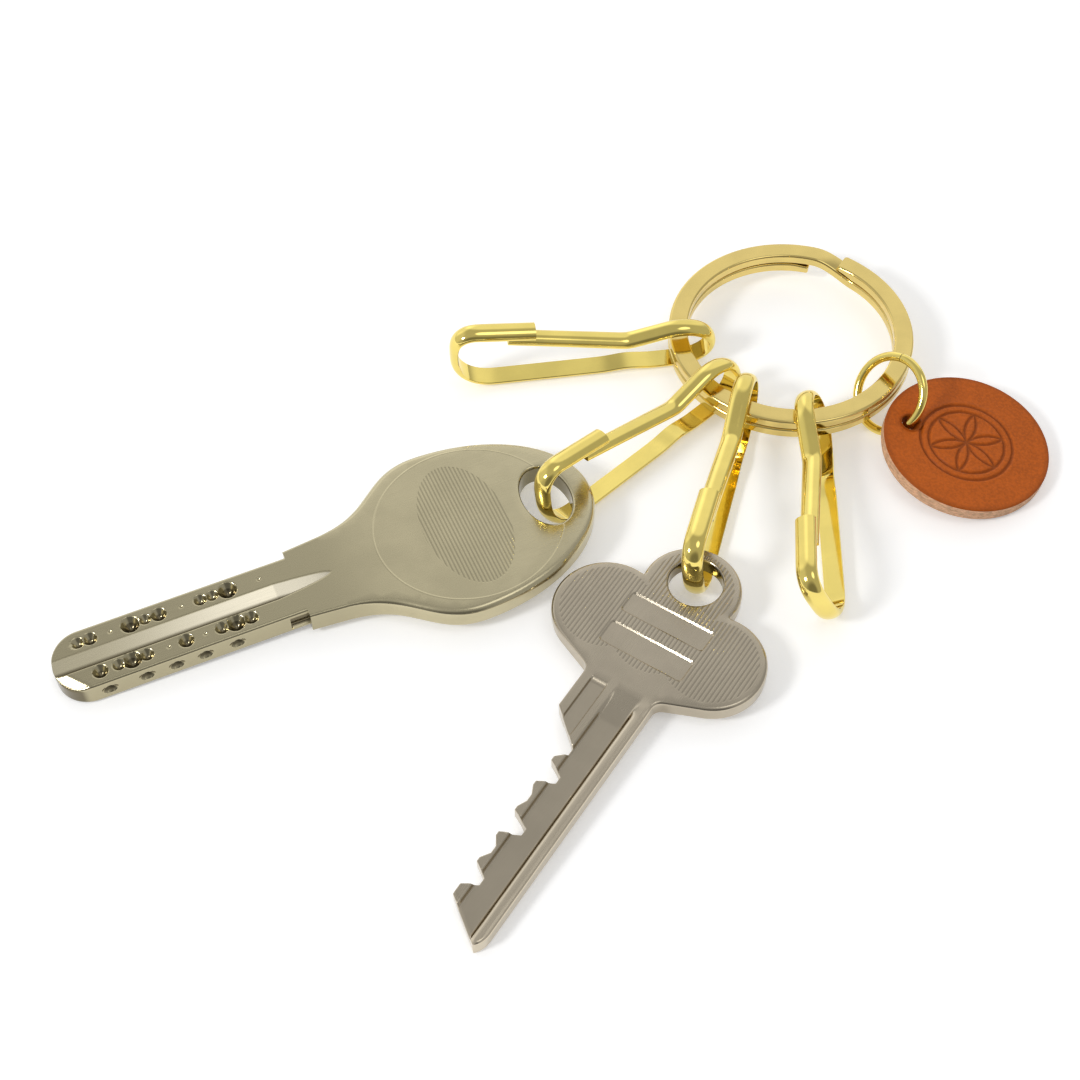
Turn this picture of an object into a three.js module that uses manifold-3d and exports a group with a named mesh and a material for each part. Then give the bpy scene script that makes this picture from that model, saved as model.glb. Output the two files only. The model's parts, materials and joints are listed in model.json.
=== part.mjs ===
// A key ring lying on a table: a split ring carrying four spring hooks and a leather tag,
// with a key on two of the hooks. X runs right, Y runs away and Z runs up from the table.
import * as THREE from 'three';
import { mergeVertices } from 'three/addons/utils/BufferGeometryUtils.js';
import Module from 'manifold-3d';

// Driving dimensions, in millimetres and degrees
const CLEARANCE = 0.3;
const KEY_PLAY = 0.5;

// Split ring: flat wire wound in two turns, cranked down where one turn passes into the next
const RING_DIAMETER = 30;
const RING_WIRE_WIDTH = 2.35;
const RING_WIRE_THICKNESS = 1.15;
const RING_WIRE_EDGE = 0.25;
const RING_TURN_GAP = 0.45;
const RING_END_ANGLE = 58;
const RING_CRANK = 16;
const RING_END_SPACE = 2;
const RING_STEP = 4;

// Spring hook: one bent strip, flat inside and arched outside, with an eye round the split ring
const STRIP_WIDTH = 2.3;
const STRIP_THICKNESS = 0.95;
const STRIP_SIDE = 0.42;
const EYE_REACH = 3.75;
const EYE_HEIGHT = 5.5;
const EYE_TOP_ANGLE = 66;
const NECK_REACH = 6.4;
const NECK_OPENING = 3.55;
const NECK_RISE = 0.4;
const NECK_SOFTENING = 0.08;
const HOOK_REACH = 27.3;
const FAR_OPENING = 8.65;
const CAP_LENGTH = 9.4;
const CAP_SLOPE = 9.4;
const CAP_HOLLOW = 0.35;
const GATE_ROOT_SHARE = 0.76;
const GATE_NECK_SHARE = 0.06;
const GATE_LAP = 3.4;
const GATE_DROP = 0.22;
const WIRE_PLAY = 0.25;

// Where each hook sits: its place round the ring, its heading, its lean and its slack on the wire
const HOOKS = [
  { place: -176, heading: -172, lean: -5.4, slack: 0 },
  { place: -139.9, heading: -136.6, lean: 7.2, slack: -0.5 },
  { place: -119, heading: -104.9, lean: 6.2, slack: -0.6 },
  { place: -82.9, heading: -91.3, lean: 28, slack: 0.3 },
];

// Jump ring and leather tag
const JUMP_DIAMETER = 10.2;
const JUMP_WIRE = 1.1;
const JUMP_PLACE = -41.3;
const JUMP_OFFSET = 1.1;
const JUMP_TILT = 52.3;
const JUMP_TURN = -146.1;
const TAG_DIAMETER = 20;
const TAG_THICKNESS = 1.8;
const TAG_HOLE = 3.1;
const TAG_HOLE_INSET = 2.65;
const TAG_HEADING = -19;
const TAG_EDGE = 0.25;
const TAG_CROSSING = 70;

// Dimple key: a flat blade with a long groove and rows of pits, and an egg-shaped bow
const DIMPLE_KEY = { length: 64.6, thickness: 2.9, edge: 0.3, heading: 23.2, back: 1.3, side: -1.4 };
const DIMPLE_BLADE = { length: 28.3, width: 8.1, tip: 3.7, notch: 2.1, notchDepth: 0.95 };
const DIMPLE_BOW = {
  width: 23.6, end: 17.5, shoulder: 9.8, neckLength: 4.7, neckWidth: 10.6, neckFlare: 0.12, bowFlare: 0.9,
};
const DIMPLE_HOLE = { length: 8.6, width: 5.6, inset: 5.4 };
const DIMPLE_GROOVE = { width: 2, depth: 0.7, length: 33, point: 5 };
const DIMPLE_PANEL = { length: 20.4, width: 17.6, depth: 0.2, centre: 18.2 };
const PIT_ROW = 2.45;
const PIT_PITCH = 2.3;
const PIT_START = 4.6;
const PIT_DEPTH = 0.75;
const PIT_POINT = 0.2;
const PIT_SIZES = [1.5, 1.1, 1.9, 1.3, 1.1, 1.9, 1.5, 1.1, 1.3, 1.9];
const EDGE_PIT_SIZE = 1.3;

// Pin key: a grooved blade with cuts along one edge, and a bow of three round lobes
const PIN_KEY = { length: 54.2, thickness: 2.2, edge: 0.2, heading: 56.8, back: 0.7, side: 0.1 };
const PIN_BLADE = { length: 33.1, width: 8.7, tipRise: 4.2, ridge: 3, shoulder: 5.2 };
const PIN_CUTS = [4.6, 3.7, 5.1, 3.5, 4.8, 4.1];
const PIN_CUT_PITCH = 3.5;
const PIN_CUT_START = 6.3;
const PIN_CUT_FLAT = 0.9;
const PIN_CUT_SLOPE = 0.8;
const PIN_GROOVE = { width: 3, depth: 0.55, offset: -1.3, shift: 2.6 };
const PIN_LOBE = { radius: 6.2, side: 6.7, setBack: 12.8, neckAngle: 200 };
const PIN_END_LOBE = 5.7;
const PIN_HOLE = { diameter: 6.2, inset: 4.7 };

const GOLD = { color: 0xe3c53f, metalness: 1, roughness: 0.18 };
const CHAMPAGNE = { color: 0xdcc88c, metalness: 1, roughness: 0.2 };
const LEATHER = { color: 0xb1561f, metalness: 0, roughness: 0.62 };
const WARM_NICKEL = { color: 0xb9b19a, metalness: 1, roughness: 0.3 };
const COOL_NICKEL = { color: 0xa9a59b, metalness: 1, roughness: 0.34 };

const radians = THREE.MathUtils.degToRad;
const wasm = await Module();
wasm.setup();

// Sizes that follow from the driving dimensions
const ringHeight = 2 * RING_WIRE_THICKNESS + RING_TURN_GAP;
const ringRadius = (RING_DIAMETER - RING_WIRE_WIDTH) / 2;
const wireSweep = Math.max(
  Math.hypot(RING_WIRE_WIDTH / 2, ringHeight / 2 - RING_WIRE_EDGE),
  Math.hypot(RING_WIRE_WIDTH / 2 - RING_WIRE_EDGE, ringHeight / 2),
);
const ringZ = Math.max(...HOOKS.map((hook) => wireSweep + WIRE_PLAY + armTop(hook.lean)));

// How far a strip lying at this lean reaches below the middle of its flat face
function armDepth(lean) {
  const angle = radians(lean);
  return Math.hypot((STRIP_WIDTH / 2) * Math.sin(angle), STRIP_THICKNESS * Math.cos(angle));
}

// How high the upper edge of the flat face of such a strip stands above the table
function armTop(lean) {
  return armDepth(lean) + (STRIP_WIDTH / 2) * Math.sin(radians(Math.abs(lean)));
}

// A mesh with its own material
function part(name, geometry, looks) {
  geometry.computeVertexNormals();
  const mesh = new THREE.Mesh(geometry, new THREE.MeshStandardMaterial(looks));
  mesh.name = name;
  return mesh;
}

// A closed geometry as a solid for cutting
function solid(geometry) {
  const bare = geometry.clone();
  bare.deleteAttribute('normal');
  bare.deleteAttribute('uv');
  const merged = mergeVertices(bare, 1e-4);
  const mesh = new wasm.Mesh({
    numProp: 3,
    vertProperties: new Float32Array(merged.attributes.position.array),
    triVerts: new Uint32Array(merged.index.array),
  });
  mesh.merge();
  return new wasm.Manifold(mesh);
}

// A geometry with each of the cutters taken out of it
function cut(geometry, cutters) {
  const result = cutters.reduce((body, cutter) => body.subtract(solid(cutter)), solid(geometry));
  const mesh = result.getMesh();
  const cutGeometry = new THREE.BufferGeometry();
  cutGeometry.setAttribute('position', new THREE.Float32BufferAttribute(mesh.vertProperties, 3));
  cutGeometry.setIndex(Array.from(mesh.triVerts));
  return cutGeometry;
}

// A closed skin over a row of rings that all have the same number of points
function loft(rings, endFaces) {
  const sides = rings[0].length;
  const positions = rings.flat().flatMap((point) => point.toArray());
  const last = (rings.length - 1) * sides;
  const index = [];
  for (let ring = 0; ring + 1 < rings.length; ring += 1) {
    for (let side = 0; side < sides; side += 1) {
      const a = ring * sides + side;
      const b = ring * sides + ((side + 1) % sides);
      index.push(a, b, a + sides, b, b + sides, a + sides);
    }
  }
  for (const [a, b, c] of endFaces) {
    index.push(a, c, b, last + a, last + b, last + c);
  }
  const geometry = new THREE.BufferGeometry();
  geometry.setAttribute('position', new THREE.Float32BufferAttribute(positions, 3));
  geometry.setIndex(index);
  return geometry;
}

// Rectangle with its corners cut off, as points across and up
function easedRectangle(width, height, edge) {
  const across = width / 2;
  const up = height / 2;
  return [
    [across - edge, -up], [across, edge - up], [across, up - edge], [across - edge, up],
    [edge - across, up], [-across, up - edge], [-across, edge - up], [edge - across, -up],
  ].map(([x, y]) => new THREE.Vector2(x, y));
}

// Height of the wire's middle after turning this many degrees from the upper end
function ringWireHeight(turned) {
  const crankEnd = 360 - RING_END_SPACE;
  const down = THREE.MathUtils.smoothstep(turned, crankEnd - RING_CRANK, crankEnd);
  return (0.5 - down) * (RING_WIRE_THICKNESS + RING_TURN_GAP);
}

// Rings of the wire's section, from the upper end clockwise to the lower end
function ringSections() {
  const section = easedRectangle(RING_WIRE_WIDTH, RING_WIRE_THICKNESS, RING_WIRE_EDGE);
  const turned = 720 - RING_CRANK - 2 * RING_END_SPACE;
  const steps = Math.round(turned / RING_STEP);
  const rings = [];
  for (let step = 0; step <= steps; step += 1) {
    const along = (turned * step) / steps;
    const angle = radians(RING_END_ANGLE - along);
    const height = ringWireHeight(along);
    rings.push(section.map(({ x, y }) => new THREE.Vector3(
      (ringRadius + x) * Math.cos(angle),
      (ringRadius + x) * Math.sin(angle),
      height + y,
    )));
  }
  return rings;
}

// Least distance between points of the coil that lie more than a quarter turn apart along it
function leastCoilGap(rings) {
  const apart = Math.round(90 / RING_STEP);
  let least = Infinity;
  rings.forEach((ring, first) => {
    for (const other of rings.slice(first + apart)) {
      for (const point of ring) {
        for (const otherPoint of other) {
          least = Math.min(least, point.distanceTo(otherPoint));
        }
      }
    }
  });
  return least;
}

function splitRing() {
  const rings = ringSections();
  console.log(`split ring: least gap between its turns ${leastCoilGap(rings).toFixed(3)} mm`);
  const section = easedRectangle(RING_WIRE_WIDTH, RING_WIRE_THICKNESS, RING_WIRE_EDGE);
  const endFaces = THREE.ShapeUtils.triangulateShape(section, []);
  const mesh = part('split_ring', loft(rings, endFaces), CHAMPAGNE);
  mesh.position.z = ringZ;
  return mesh;
}

// Section of the strip: across its width and outwards from its flat face, hollowed by some depth
function stripSection(hollow) {
  const half = STRIP_WIDTH / 2;
  const rise = STRIP_THICKNESS - STRIP_SIDE;
  const arch = [30, 60, 90, 120, 150].map((angle) => [
    half * Math.cos(radians(angle)),
    STRIP_SIDE + rise * Math.sin(radians(angle)),
  ]);
  const inside = [-1, -0.5, 0, 0.5, 1].map((share) => [half * share, hollow * (1 - share ** 2)]);
  const points = [...inside, [half, STRIP_SIDE], ...arch, [-half, STRIP_SIDE]];
  return points.map(([x, y]) => new THREE.Vector2(x, y));
}

// Strip whose flat face follows a line of points in the hook's upright plane
function strip(line, outward, hollowAt) {
  const rings = line.map((point, i) => {
    const next = line[Math.min(i + 1, line.length - 1)];
    const along = next.clone().sub(line[Math.max(i - 1, 0)]).normalize();
    const out = new THREE.Vector2(along.y, -along.x).multiplyScalar(outward);
    return stripSection(hollowAt(i)).map(({ x, y }) => new THREE.Vector3(
      point.x + out.x * y,
      -x * outward,
      point.y + out.y * y,
    ));
  });
  return loft(rings, THREE.ShapeUtils.triangulateShape(stripSection(0), []));
}

// Points on an ellipse between two angles
function arc(x, y, across, up, from, to, steps) {
  return Array.from({ length: steps + 1 }, (unused, i) => {
    const angle = radians(THREE.MathUtils.lerp(from, to, i / steps));
    return new THREE.Vector2(x + across * Math.cos(angle), y + up * Math.sin(angle));
  });
}

// Points on a straight run, without its first
function run(from, to, steps) {
  return Array.from({ length: steps }, (unused, i) => from.clone().lerp(to, (i + 1) / steps));
}

// Middle of the neck on the gate, where the strip turns from the eye to the long arm
const neck = new THREE.Vector2(NECK_REACH, NECK_RISE + NECK_OPENING);
const eyeTop = arc(0, EYE_HEIGHT / 2, EYE_REACH, EYE_HEIGHT / 2, EYE_TOP_ANGLE, EYE_TOP_ANGLE, 1)[0];
const gateRoot = eyeTop.clone().lerp(neck, GATE_ROOT_SHARE);
const farBend = FAR_OPENING / 2;
const capEnd = new THREE.Vector2(
  HOOK_REACH - CAP_LENGTH,
  FAR_OPENING - (CAP_LENGTH - farBend) * Math.tan(radians(CAP_SLOPE)),
);
const gateTip = new THREE.Vector2(
  capEnd.x + GATE_LAP,
  capEnd.y + GATE_LAP * Math.tan(radians(CAP_SLOPE)) - GATE_DROP - STRIP_THICKNESS,
);

// The fixed part of the strip: neck, eye, lower arm, far bend and the hollow cap over the gate's tip
function hookFrame() {
  const start = gateRoot.clone().lerp(eyeTop, CLEARANCE / gateRoot.distanceTo(eyeTop));
  const eye = arc(0, EYE_HEIGHT / 2, EYE_REACH, EYE_HEIGHT / 2, EYE_TOP_ANGLE, 270, 18);
  const bendX = HOOK_REACH - farBend;
  const bend = arc(bendX, farBend, farBend, farBend, -90, 90 + CAP_SLOPE, 14);
  const kink = new THREE.Vector2(NECK_REACH, NECK_RISE);
  const armStart = new THREE.Vector2(NECK_REACH - EYE_REACH, 0);
  const armEnd = new THREE.Vector2(NECK_REACH + EYE_REACH, 0);
  const arm = [armStart, ...softKink(armStart, kink), kink, ...softKink(kink, armEnd), armEnd];
  const lowerArm = run(armEnd, bend[0], 3).slice(0, 2);
  const line = [start, eyeTop.clone().lerp(start, 0.5), ...eye, ...arm, ...lowerArm];
  const capStart = line.length + bend.length;
  line.push(...bend, ...run(bend[bend.length - 1], capEnd, 5));
  return strip(line, 1, (i) => CAP_HOLLOW * THREE.MathUtils.smoothstep(i, capStart - 5, capStart + 1));
}

// Two points that round off the run between the level of one point and that of another
function softKink(from, to) {
  return [0.3, 0.7].map((share) => new THREE.Vector2(
    THREE.MathUtils.lerp(from.x, to.x, share),
    THREE.MathUtils.lerp(from.y, to.y, THREE.MathUtils.smoothstep(share, 0, 1)),
  ));
}

// The springing arm, from the neck to its tip under the cap
function hookGate() {
  const tangent = gateTip.clone().sub(neck);
  const first = neck.clone().addScaledVector(tangent, GATE_NECK_SHARE);
  const turn = new THREE.Vector2(neck.x, neck.y + NECK_SOFTENING);
  const line = [gateRoot, gateRoot.clone().lerp(neck, 0.5), turn, first, ...run(first, gateTip, 9)];
  return strip(line.map((point) => point.clone().sub(gateRoot)), -1, () => 0);
}

// A hook's two nodes, standing in a frame whose origin is the middle of the wire that it hangs on
function hook(number, { place, heading, lean, slack }) {
  const frame = new THREE.Group();
  frame.position.set(ringRadius * Math.cos(radians(place)), ringRadius * Math.sin(radians(place)), ringZ);
  frame.rotation.set(radians(lean), 0, radians(heading), 'ZYX');
  const drop = (ringZ - armDepth(lean)) / Math.cos(radians(lean));
  const body = part(`hook_${number}`, hookFrame().translate(slack, 0, -drop), GOLD);
  const gate = part(`hook_${number}_gate`, hookGate(), GOLD);
  gate.position.set(gateRoot.x + slack, 0, gateRoot.y - drop);
  frame.add(body, gate);
  return frame;
}

// Upright frame of the jump ring, whose own plane is X and Y
function jumpFrame() {
  const frame = new THREE.Group();
  const reach = ringRadius + JUMP_OFFSET;
  const radius = (JUMP_DIAMETER - JUMP_WIRE) / 2;
  frame.position.set(
    reach * Math.cos(radians(JUMP_PLACE)),
    reach * Math.sin(radians(JUMP_PLACE)),
    JUMP_WIRE / 2 + radius * Math.sin(radians(JUMP_TILT)),
  );
  frame.rotation.set(0, radians(JUMP_TILT), radians(JUMP_TURN), 'ZYX');
  frame.updateMatrix();
  return frame;
}

function jumpRing() {
  const frame = jumpFrame();
  const radius = (JUMP_DIAMETER - JUMP_WIRE) / 2;
  frame.add(part('jump_ring', new THREE.TorusGeometry(radius, JUMP_WIRE / 2, 10, 40), GOLD));
  return frame;
}

// The tag lies with its far edge on the table and its hole on the jump ring's wire
function leatherTag() {
  const radius = (JUMP_DIAMETER - JUMP_WIRE) / 2;
  const crossing = arc(0, 0, radius, radius, TAG_CROSSING, TAG_CROSSING, 1)[0];
  const hole = new THREE.Vector3(crossing.x, crossing.y, 0).applyMatrix4(jumpFrame().matrix);
  const tagRadius = TAG_DIAMETER / 2;
  const shape = new THREE.Shape();
  shape.absarc(tagRadius - TAG_HOLE_INSET, 0, tagRadius - TAG_EDGE, 0, 2 * Math.PI);
  shape.holes.push(new THREE.Path().absarc(0, 0, TAG_HOLE / 2 + TAG_EDGE, 0, 2 * Math.PI));
  const disc = new THREE.ExtrudeGeometry(shape, {
    depth: TAG_THICKNESS - 2 * TAG_EDGE,
    bevelSize: TAG_EDGE,
    bevelThickness: TAG_EDGE,
    bevelSegments: 2,
    curveSegments: 30,
  });
  disc.translate(0, 0, TAG_EDGE - TAG_THICKNESS / 2);
  const tag = part('leather_tag', disc, LEATHER);
  const fall = Math.asin((hole.z - TAG_THICKNESS / 2) / (TAG_DIAMETER - TAG_HOLE_INSET));
  tag.position.copy(hole);
  tag.rotation.set(0, fall, radians(TAG_HEADING), 'ZYX');
  return tag;
}

// Flat plate with eased edges, lying on Z = 0
function plate(shape, thickness, edge, curveSegments) {
  const geometry = new THREE.ExtrudeGeometry(shape, {
    depth: thickness - 2 * edge,
    bevelSize: edge,
    bevelOffset: -edge,
    bevelThickness: edge,
    bevelSegments: 1,
    curveSegments,
  });
  return geometry.translate(0, 0, edge);
}

// Shape pushed into one face of a key, seen from above or turned over for the lower face
function recess(shape, depth, thickness, lower, curveSegments = 12) {
  const cutter = new THREE.ExtrudeGeometry(shape, { depth: 2 * depth, bevelEnabled: false, curveSegments });
  return cutter.translate(0, 0, lower ? -depth : thickness - depth);
}

// Cone for a pit that is this wide on Z = 0 and narrows to a blunt point below
function pit(width) {
  const point = (PIT_POINT * width) / 2;
  const cone = new THREE.CylinderGeometry(width - point, point, 2 * PIT_DEPTH, 10);
  return cone.rotateX(Math.PI / 2);
}

// Outline of the dimple key with its tip at the origin
function dimpleOutline() {
  const blade = DIMPLE_BLADE.width / 2;
  const shoulder = DIMPLE_BOW.shoulder / 2;
  const neckEnd = DIMPLE_BLADE.length + DIMPLE_BOW.neckLength;
  const neckHalf = DIMPLE_BOW.neckWidth / 2;
  const bow = DIMPLE_BOW.width / 2;
  const centre = DIMPLE_KEY.length - DIMPLE_BOW.end;
  const flare = (centre - neckEnd) / 2;
  const neckFlare = neckHalf + DIMPLE_BOW.neckFlare * flare;
  const bowFlare = DIMPLE_BOW.bowFlare * flare;
  const shape = new THREE.Shape();
  shape.moveTo(DIMPLE_BLADE.tip, -blade);
  shape.lineTo(DIMPLE_BLADE.length - DIMPLE_BLADE.notch, -blade);
  shape.lineTo(DIMPLE_BLADE.length - DIMPLE_BLADE.notch, DIMPLE_BLADE.notchDepth - blade);
  shape.lineTo(DIMPLE_BLADE.length, DIMPLE_BLADE.notchDepth - blade);
  shape.lineTo(DIMPLE_BLADE.length, -shoulder);
  shape.lineTo(neckEnd, -neckHalf);
  shape.bezierCurveTo(neckEnd + flare, -neckFlare, centre - bowFlare, -bow, centre, -bow);
  shape.absellipse(centre, 0, DIMPLE_BOW.end, bow, -Math.PI / 2, Math.PI / 2);
  shape.bezierCurveTo(centre - bowFlare, bow, neckEnd + flare, neckFlare, neckEnd, neckHalf);
  shape.lineTo(DIMPLE_BLADE.length, shoulder);
  shape.lineTo(DIMPLE_BLADE.length, blade);
  shape.lineTo(DIMPLE_BLADE.tip, blade);
  shape.absellipse(DIMPLE_BLADE.tip, 0, DIMPLE_BLADE.tip, blade, Math.PI / 2, 1.5 * Math.PI);
  const hole = new THREE.Path();
  const holeX = DIMPLE_KEY.length - DIMPLE_HOLE.inset;
  hole.absellipse(holeX, 0, DIMPLE_HOLE.width / 2, DIMPLE_HOLE.length / 2, 0, 2 * Math.PI);
  shape.holes.push(hole);
  return shape;
}

// Groove that runs out of the tip and ends in a point towards the bow
function dimpleGroove() {
  const half = DIMPLE_GROOVE.width / 2;
  return new THREE.Shape([
    new THREE.Vector2(-CLEARANCE, -half),
    new THREE.Vector2(DIMPLE_GROOVE.length - DIMPLE_GROOVE.point, -half),
    new THREE.Vector2(DIMPLE_GROOVE.length, 0),
    new THREE.Vector2(DIMPLE_GROOVE.length - DIMPLE_GROOVE.point, half),
    new THREE.Vector2(-CLEARANCE, half),
  ]);
}

// Pits in two rows on one face and in one row on an edge
function dimplePits(lower) {
  const face = lower ? 0 : DIMPLE_KEY.thickness;
  const turn = lower ? Math.PI : 0;
  const edge = lower ? 1 : -1;
  const pits = [];
  PIT_SIZES.forEach((size, i) => {
    const mirrored = PIT_SIZES[PIT_SIZES.length - 1 - i];
    const along = PIT_START + PIT_PITCH * i;
    pits.push(pit(size).rotateX(turn).translate(along, -edge * PIT_ROW, face));
    pits.push(pit(mirrored).rotateX(turn).translate(along, edge * PIT_ROW, face));
  });
  for (let i = lower ? 1 : 0; i < PIT_SIZES.length; i += 2) {
    const cone = pit(EDGE_PIT_SIZE).rotateX((-edge * Math.PI) / 2);
    const along = PIT_START + PIT_PITCH * i;
    pits.push(cone.translate(along, (edge * DIMPLE_BLADE.width) / 2, DIMPLE_KEY.thickness / 2));
  }
  return pits;
}

function dimpleKey() {
  const panel = new THREE.Shape();
  const panelX = DIMPLE_KEY.length - DIMPLE_PANEL.centre;
  panel.absellipse(panelX, 0, DIMPLE_PANEL.length / 2, DIMPLE_PANEL.width / 2, 0, 2 * Math.PI);
  const cutters = [];
  for (const lower of [false, true]) {
    cutters.push(recess(dimpleGroove(), DIMPLE_GROOVE.depth, DIMPLE_KEY.thickness, lower));
    cutters.push(recess(panel, DIMPLE_PANEL.depth, DIMPLE_KEY.thickness, lower, 24));
    cutters.push(...dimplePits(lower));
  }
  const body = plate(dimpleOutline(), DIMPLE_KEY.thickness, DIMPLE_KEY.edge, 14);
  return part('dimple_key', cut(body, cutters), WARM_NICKEL);
}

// Where two circles on either side of the X axis meet, on the side away from the axis
function lobesMeet(end, side) {
  const apart = Math.hypot(end.x - side.x, end.y - side.y);
  const towards = Math.atan2(end.y - side.y, end.x - side.x);
  const turn = Math.acos((apart ** 2 + side.radius ** 2 - end.radius ** 2) / (2 * apart * side.radius));
  const fromSide = towards + turn * Math.sign(side.y);
  const x = side.x + side.radius * Math.cos(fromSide);
  const y = side.y + side.radius * Math.sin(fromSide);
  return { fromSide, fromEnd: Math.atan2(y - end.y, x - end.x) };
}

// Outline of the pin key with the back corner of its tip at X = 0
function pinOutline() {
  const half = PIN_BLADE.width / 2;
  const side = { x: PIN_KEY.length - PIN_LOBE.setBack, y: -PIN_LOBE.side, radius: PIN_LOBE.radius };
  const otherSide = { ...side, y: PIN_LOBE.side };
  const end = { x: PIN_KEY.length - PIN_END_LOBE, y: 0, radius: PIN_END_LOBE };
  const near = lobesMeet(end, side);
  const far = lobesMeet(end, otherSide);
  const neckAngle = radians(PIN_LOBE.neckAngle);
  const shape = new THREE.Shape();
  shape.moveTo(0, -half);
  shape.lineTo(PIN_BLADE.length, -half);
  shape.absarc(side.x, side.y, side.radius, neckAngle, near.fromSide + 2 * Math.PI);
  shape.absarc(end.x, end.y, end.radius, near.fromEnd, far.fromEnd);
  shape.absarc(otherSide.x, otherSide.y, side.radius, far.fromSide, 2 * Math.PI - neckAngle);
  shape.lineTo(PIN_BLADE.length, half);
  shape.lineTo(PIN_BLADE.length - PIN_BLADE.shoulder, half);
  const ridge = half - PIN_BLADE.ridge;
  [...PIN_CUTS.keys()].reverse().forEach((i) => {
    const x = PIN_CUT_START + PIN_CUT_PITCH * i;
    const reach = PIN_CUT_FLAT / 2 + (PIN_CUT_SLOPE * (PIN_CUT_PITCH - PIN_CUT_FLAT)) / 2;
    shape.lineTo(x + reach, ridge);
    shape.lineTo(x + PIN_CUT_FLAT / 2, half - PIN_CUTS[i]);
    shape.lineTo(x - PIN_CUT_FLAT / 2, half - PIN_CUTS[i]);
    shape.lineTo(x - reach, ridge);
  });
  shape.lineTo(PIN_BLADE.tipRise, ridge);
  const hole = new THREE.Path();
  hole.absarc(PIN_KEY.length - PIN_HOLE.inset, 0, PIN_HOLE.diameter / 2, 0, 2 * Math.PI);
  shape.holes.push(hole);
  return shape;
}

function pinKey() {
  const groove = (middle) => new THREE.Shape([
    new THREE.Vector2(-CLEARANCE, middle - PIN_GROOVE.width / 2),
    new THREE.Vector2(PIN_BLADE.length, middle - PIN_GROOVE.width / 2),
    new THREE.Vector2(PIN_BLADE.length + PIN_GROOVE.width / 2, middle),
    new THREE.Vector2(PIN_BLADE.length, middle + PIN_GROOVE.width / 2),
    new THREE.Vector2(-CLEARANCE, middle + PIN_GROOVE.width / 2),
  ]);
  const cutters = [
    recess(groove(PIN_GROOVE.offset), PIN_GROOVE.depth, PIN_KEY.thickness, false),
    recess(groove(PIN_GROOVE.offset + PIN_GROOVE.shift), PIN_GROOVE.depth, PIN_KEY.thickness, true),
  ];
  const body = plate(pinOutline(), PIN_KEY.thickness, PIN_KEY.edge, 12);
  return part('pin_key', cut(body, cutters), COOL_NICKEL);
}

// A key lies with its tip on the table and its bow on the lower arm that passes through its hole
function hang(mesh, key, holeInset, holeHalf, { place, heading, lean, slack }) {
  const holeX = key.length - holeInset;
  const reach = HOOK_REACH + slack - key.back;
  const turn = radians(heading);
  const rise = Math.asin((armTop(lean) + KEY_PLAY) / (holeX + holeHalf));
  mesh.geometry.translate(-holeX, 0, 0);
  mesh.position.set(
    ringRadius * Math.cos(radians(place)) + reach * Math.cos(turn) - key.side * Math.sin(turn),
    ringRadius * Math.sin(radians(place)) + reach * Math.sin(turn) + key.side * Math.cos(turn),
    holeX * Math.sin(rise),
  );
  mesh.rotation.set(0, -rise, radians(key.heading), 'ZYX');
  return mesh;
}

const keyRing = new THREE.Group();
keyRing.add(splitRing(), ...HOOKS.map((place, i) => hook(i + 1, place)), jumpRing(), leatherTag());
keyRing.add(hang(dimpleKey(), DIMPLE_KEY, DIMPLE_HOLE.inset, DIMPLE_HOLE.width / 2, HOOKS[1]));
keyRing.add(hang(pinKey(), PIN_KEY, PIN_HOLE.inset, PIN_HOLE.diameter / 2, HOOKS[2]));

// The origin is the middle of the space that the key ring takes up, on the table
const bounds = new THREE.Box3().setFromObject(keyRing, true);
const middle = bounds.getCenter(new THREE.Vector3());
keyRing.position.set(-middle.x, -middle.y, -bounds.min.z);

export default keyRing;
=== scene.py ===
"""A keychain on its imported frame: split ring, spring hooks, jump ring, leather tag and two keys."""

import json
import math
from functools import partial

import bmesh
import bpy
import numpy as np
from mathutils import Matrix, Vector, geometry


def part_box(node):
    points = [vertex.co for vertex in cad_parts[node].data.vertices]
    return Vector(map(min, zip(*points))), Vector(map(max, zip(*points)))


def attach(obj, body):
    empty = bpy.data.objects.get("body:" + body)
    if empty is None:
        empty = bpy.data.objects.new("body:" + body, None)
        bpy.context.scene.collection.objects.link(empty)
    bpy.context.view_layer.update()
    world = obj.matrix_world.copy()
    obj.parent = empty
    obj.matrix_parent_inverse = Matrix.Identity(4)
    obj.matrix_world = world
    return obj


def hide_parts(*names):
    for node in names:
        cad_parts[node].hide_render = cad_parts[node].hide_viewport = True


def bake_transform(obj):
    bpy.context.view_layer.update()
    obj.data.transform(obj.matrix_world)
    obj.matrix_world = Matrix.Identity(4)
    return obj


bl_info = {
    "name": "Keychain",
    "version": (1, 0, 0),
    "blender": (4, 5, 0),
    "location": "3D View > Sidebar > Keychain",
    "description": "Dresses the frame of a keychain with spring hooks, a leather tag and keys",
    "category": "Add Mesh",
}

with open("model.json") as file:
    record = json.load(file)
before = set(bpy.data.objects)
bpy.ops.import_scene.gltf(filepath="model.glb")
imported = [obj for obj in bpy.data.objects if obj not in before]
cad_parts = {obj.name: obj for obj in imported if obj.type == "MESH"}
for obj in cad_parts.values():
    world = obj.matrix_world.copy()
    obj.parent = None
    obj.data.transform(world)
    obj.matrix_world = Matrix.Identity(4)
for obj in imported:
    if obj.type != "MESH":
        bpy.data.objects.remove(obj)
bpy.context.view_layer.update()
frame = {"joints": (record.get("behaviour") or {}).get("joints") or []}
JOINTS = {joint["name"]: joint for joint in frame["joints"]}

MM = 0.001
UP = np.array([0.0, 0.0, 1.0])
TURN = 2 * math.pi
QUARTER = math.pi / 2
WHITE = (1.0, 1.0, 1.0, 1.0)

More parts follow.
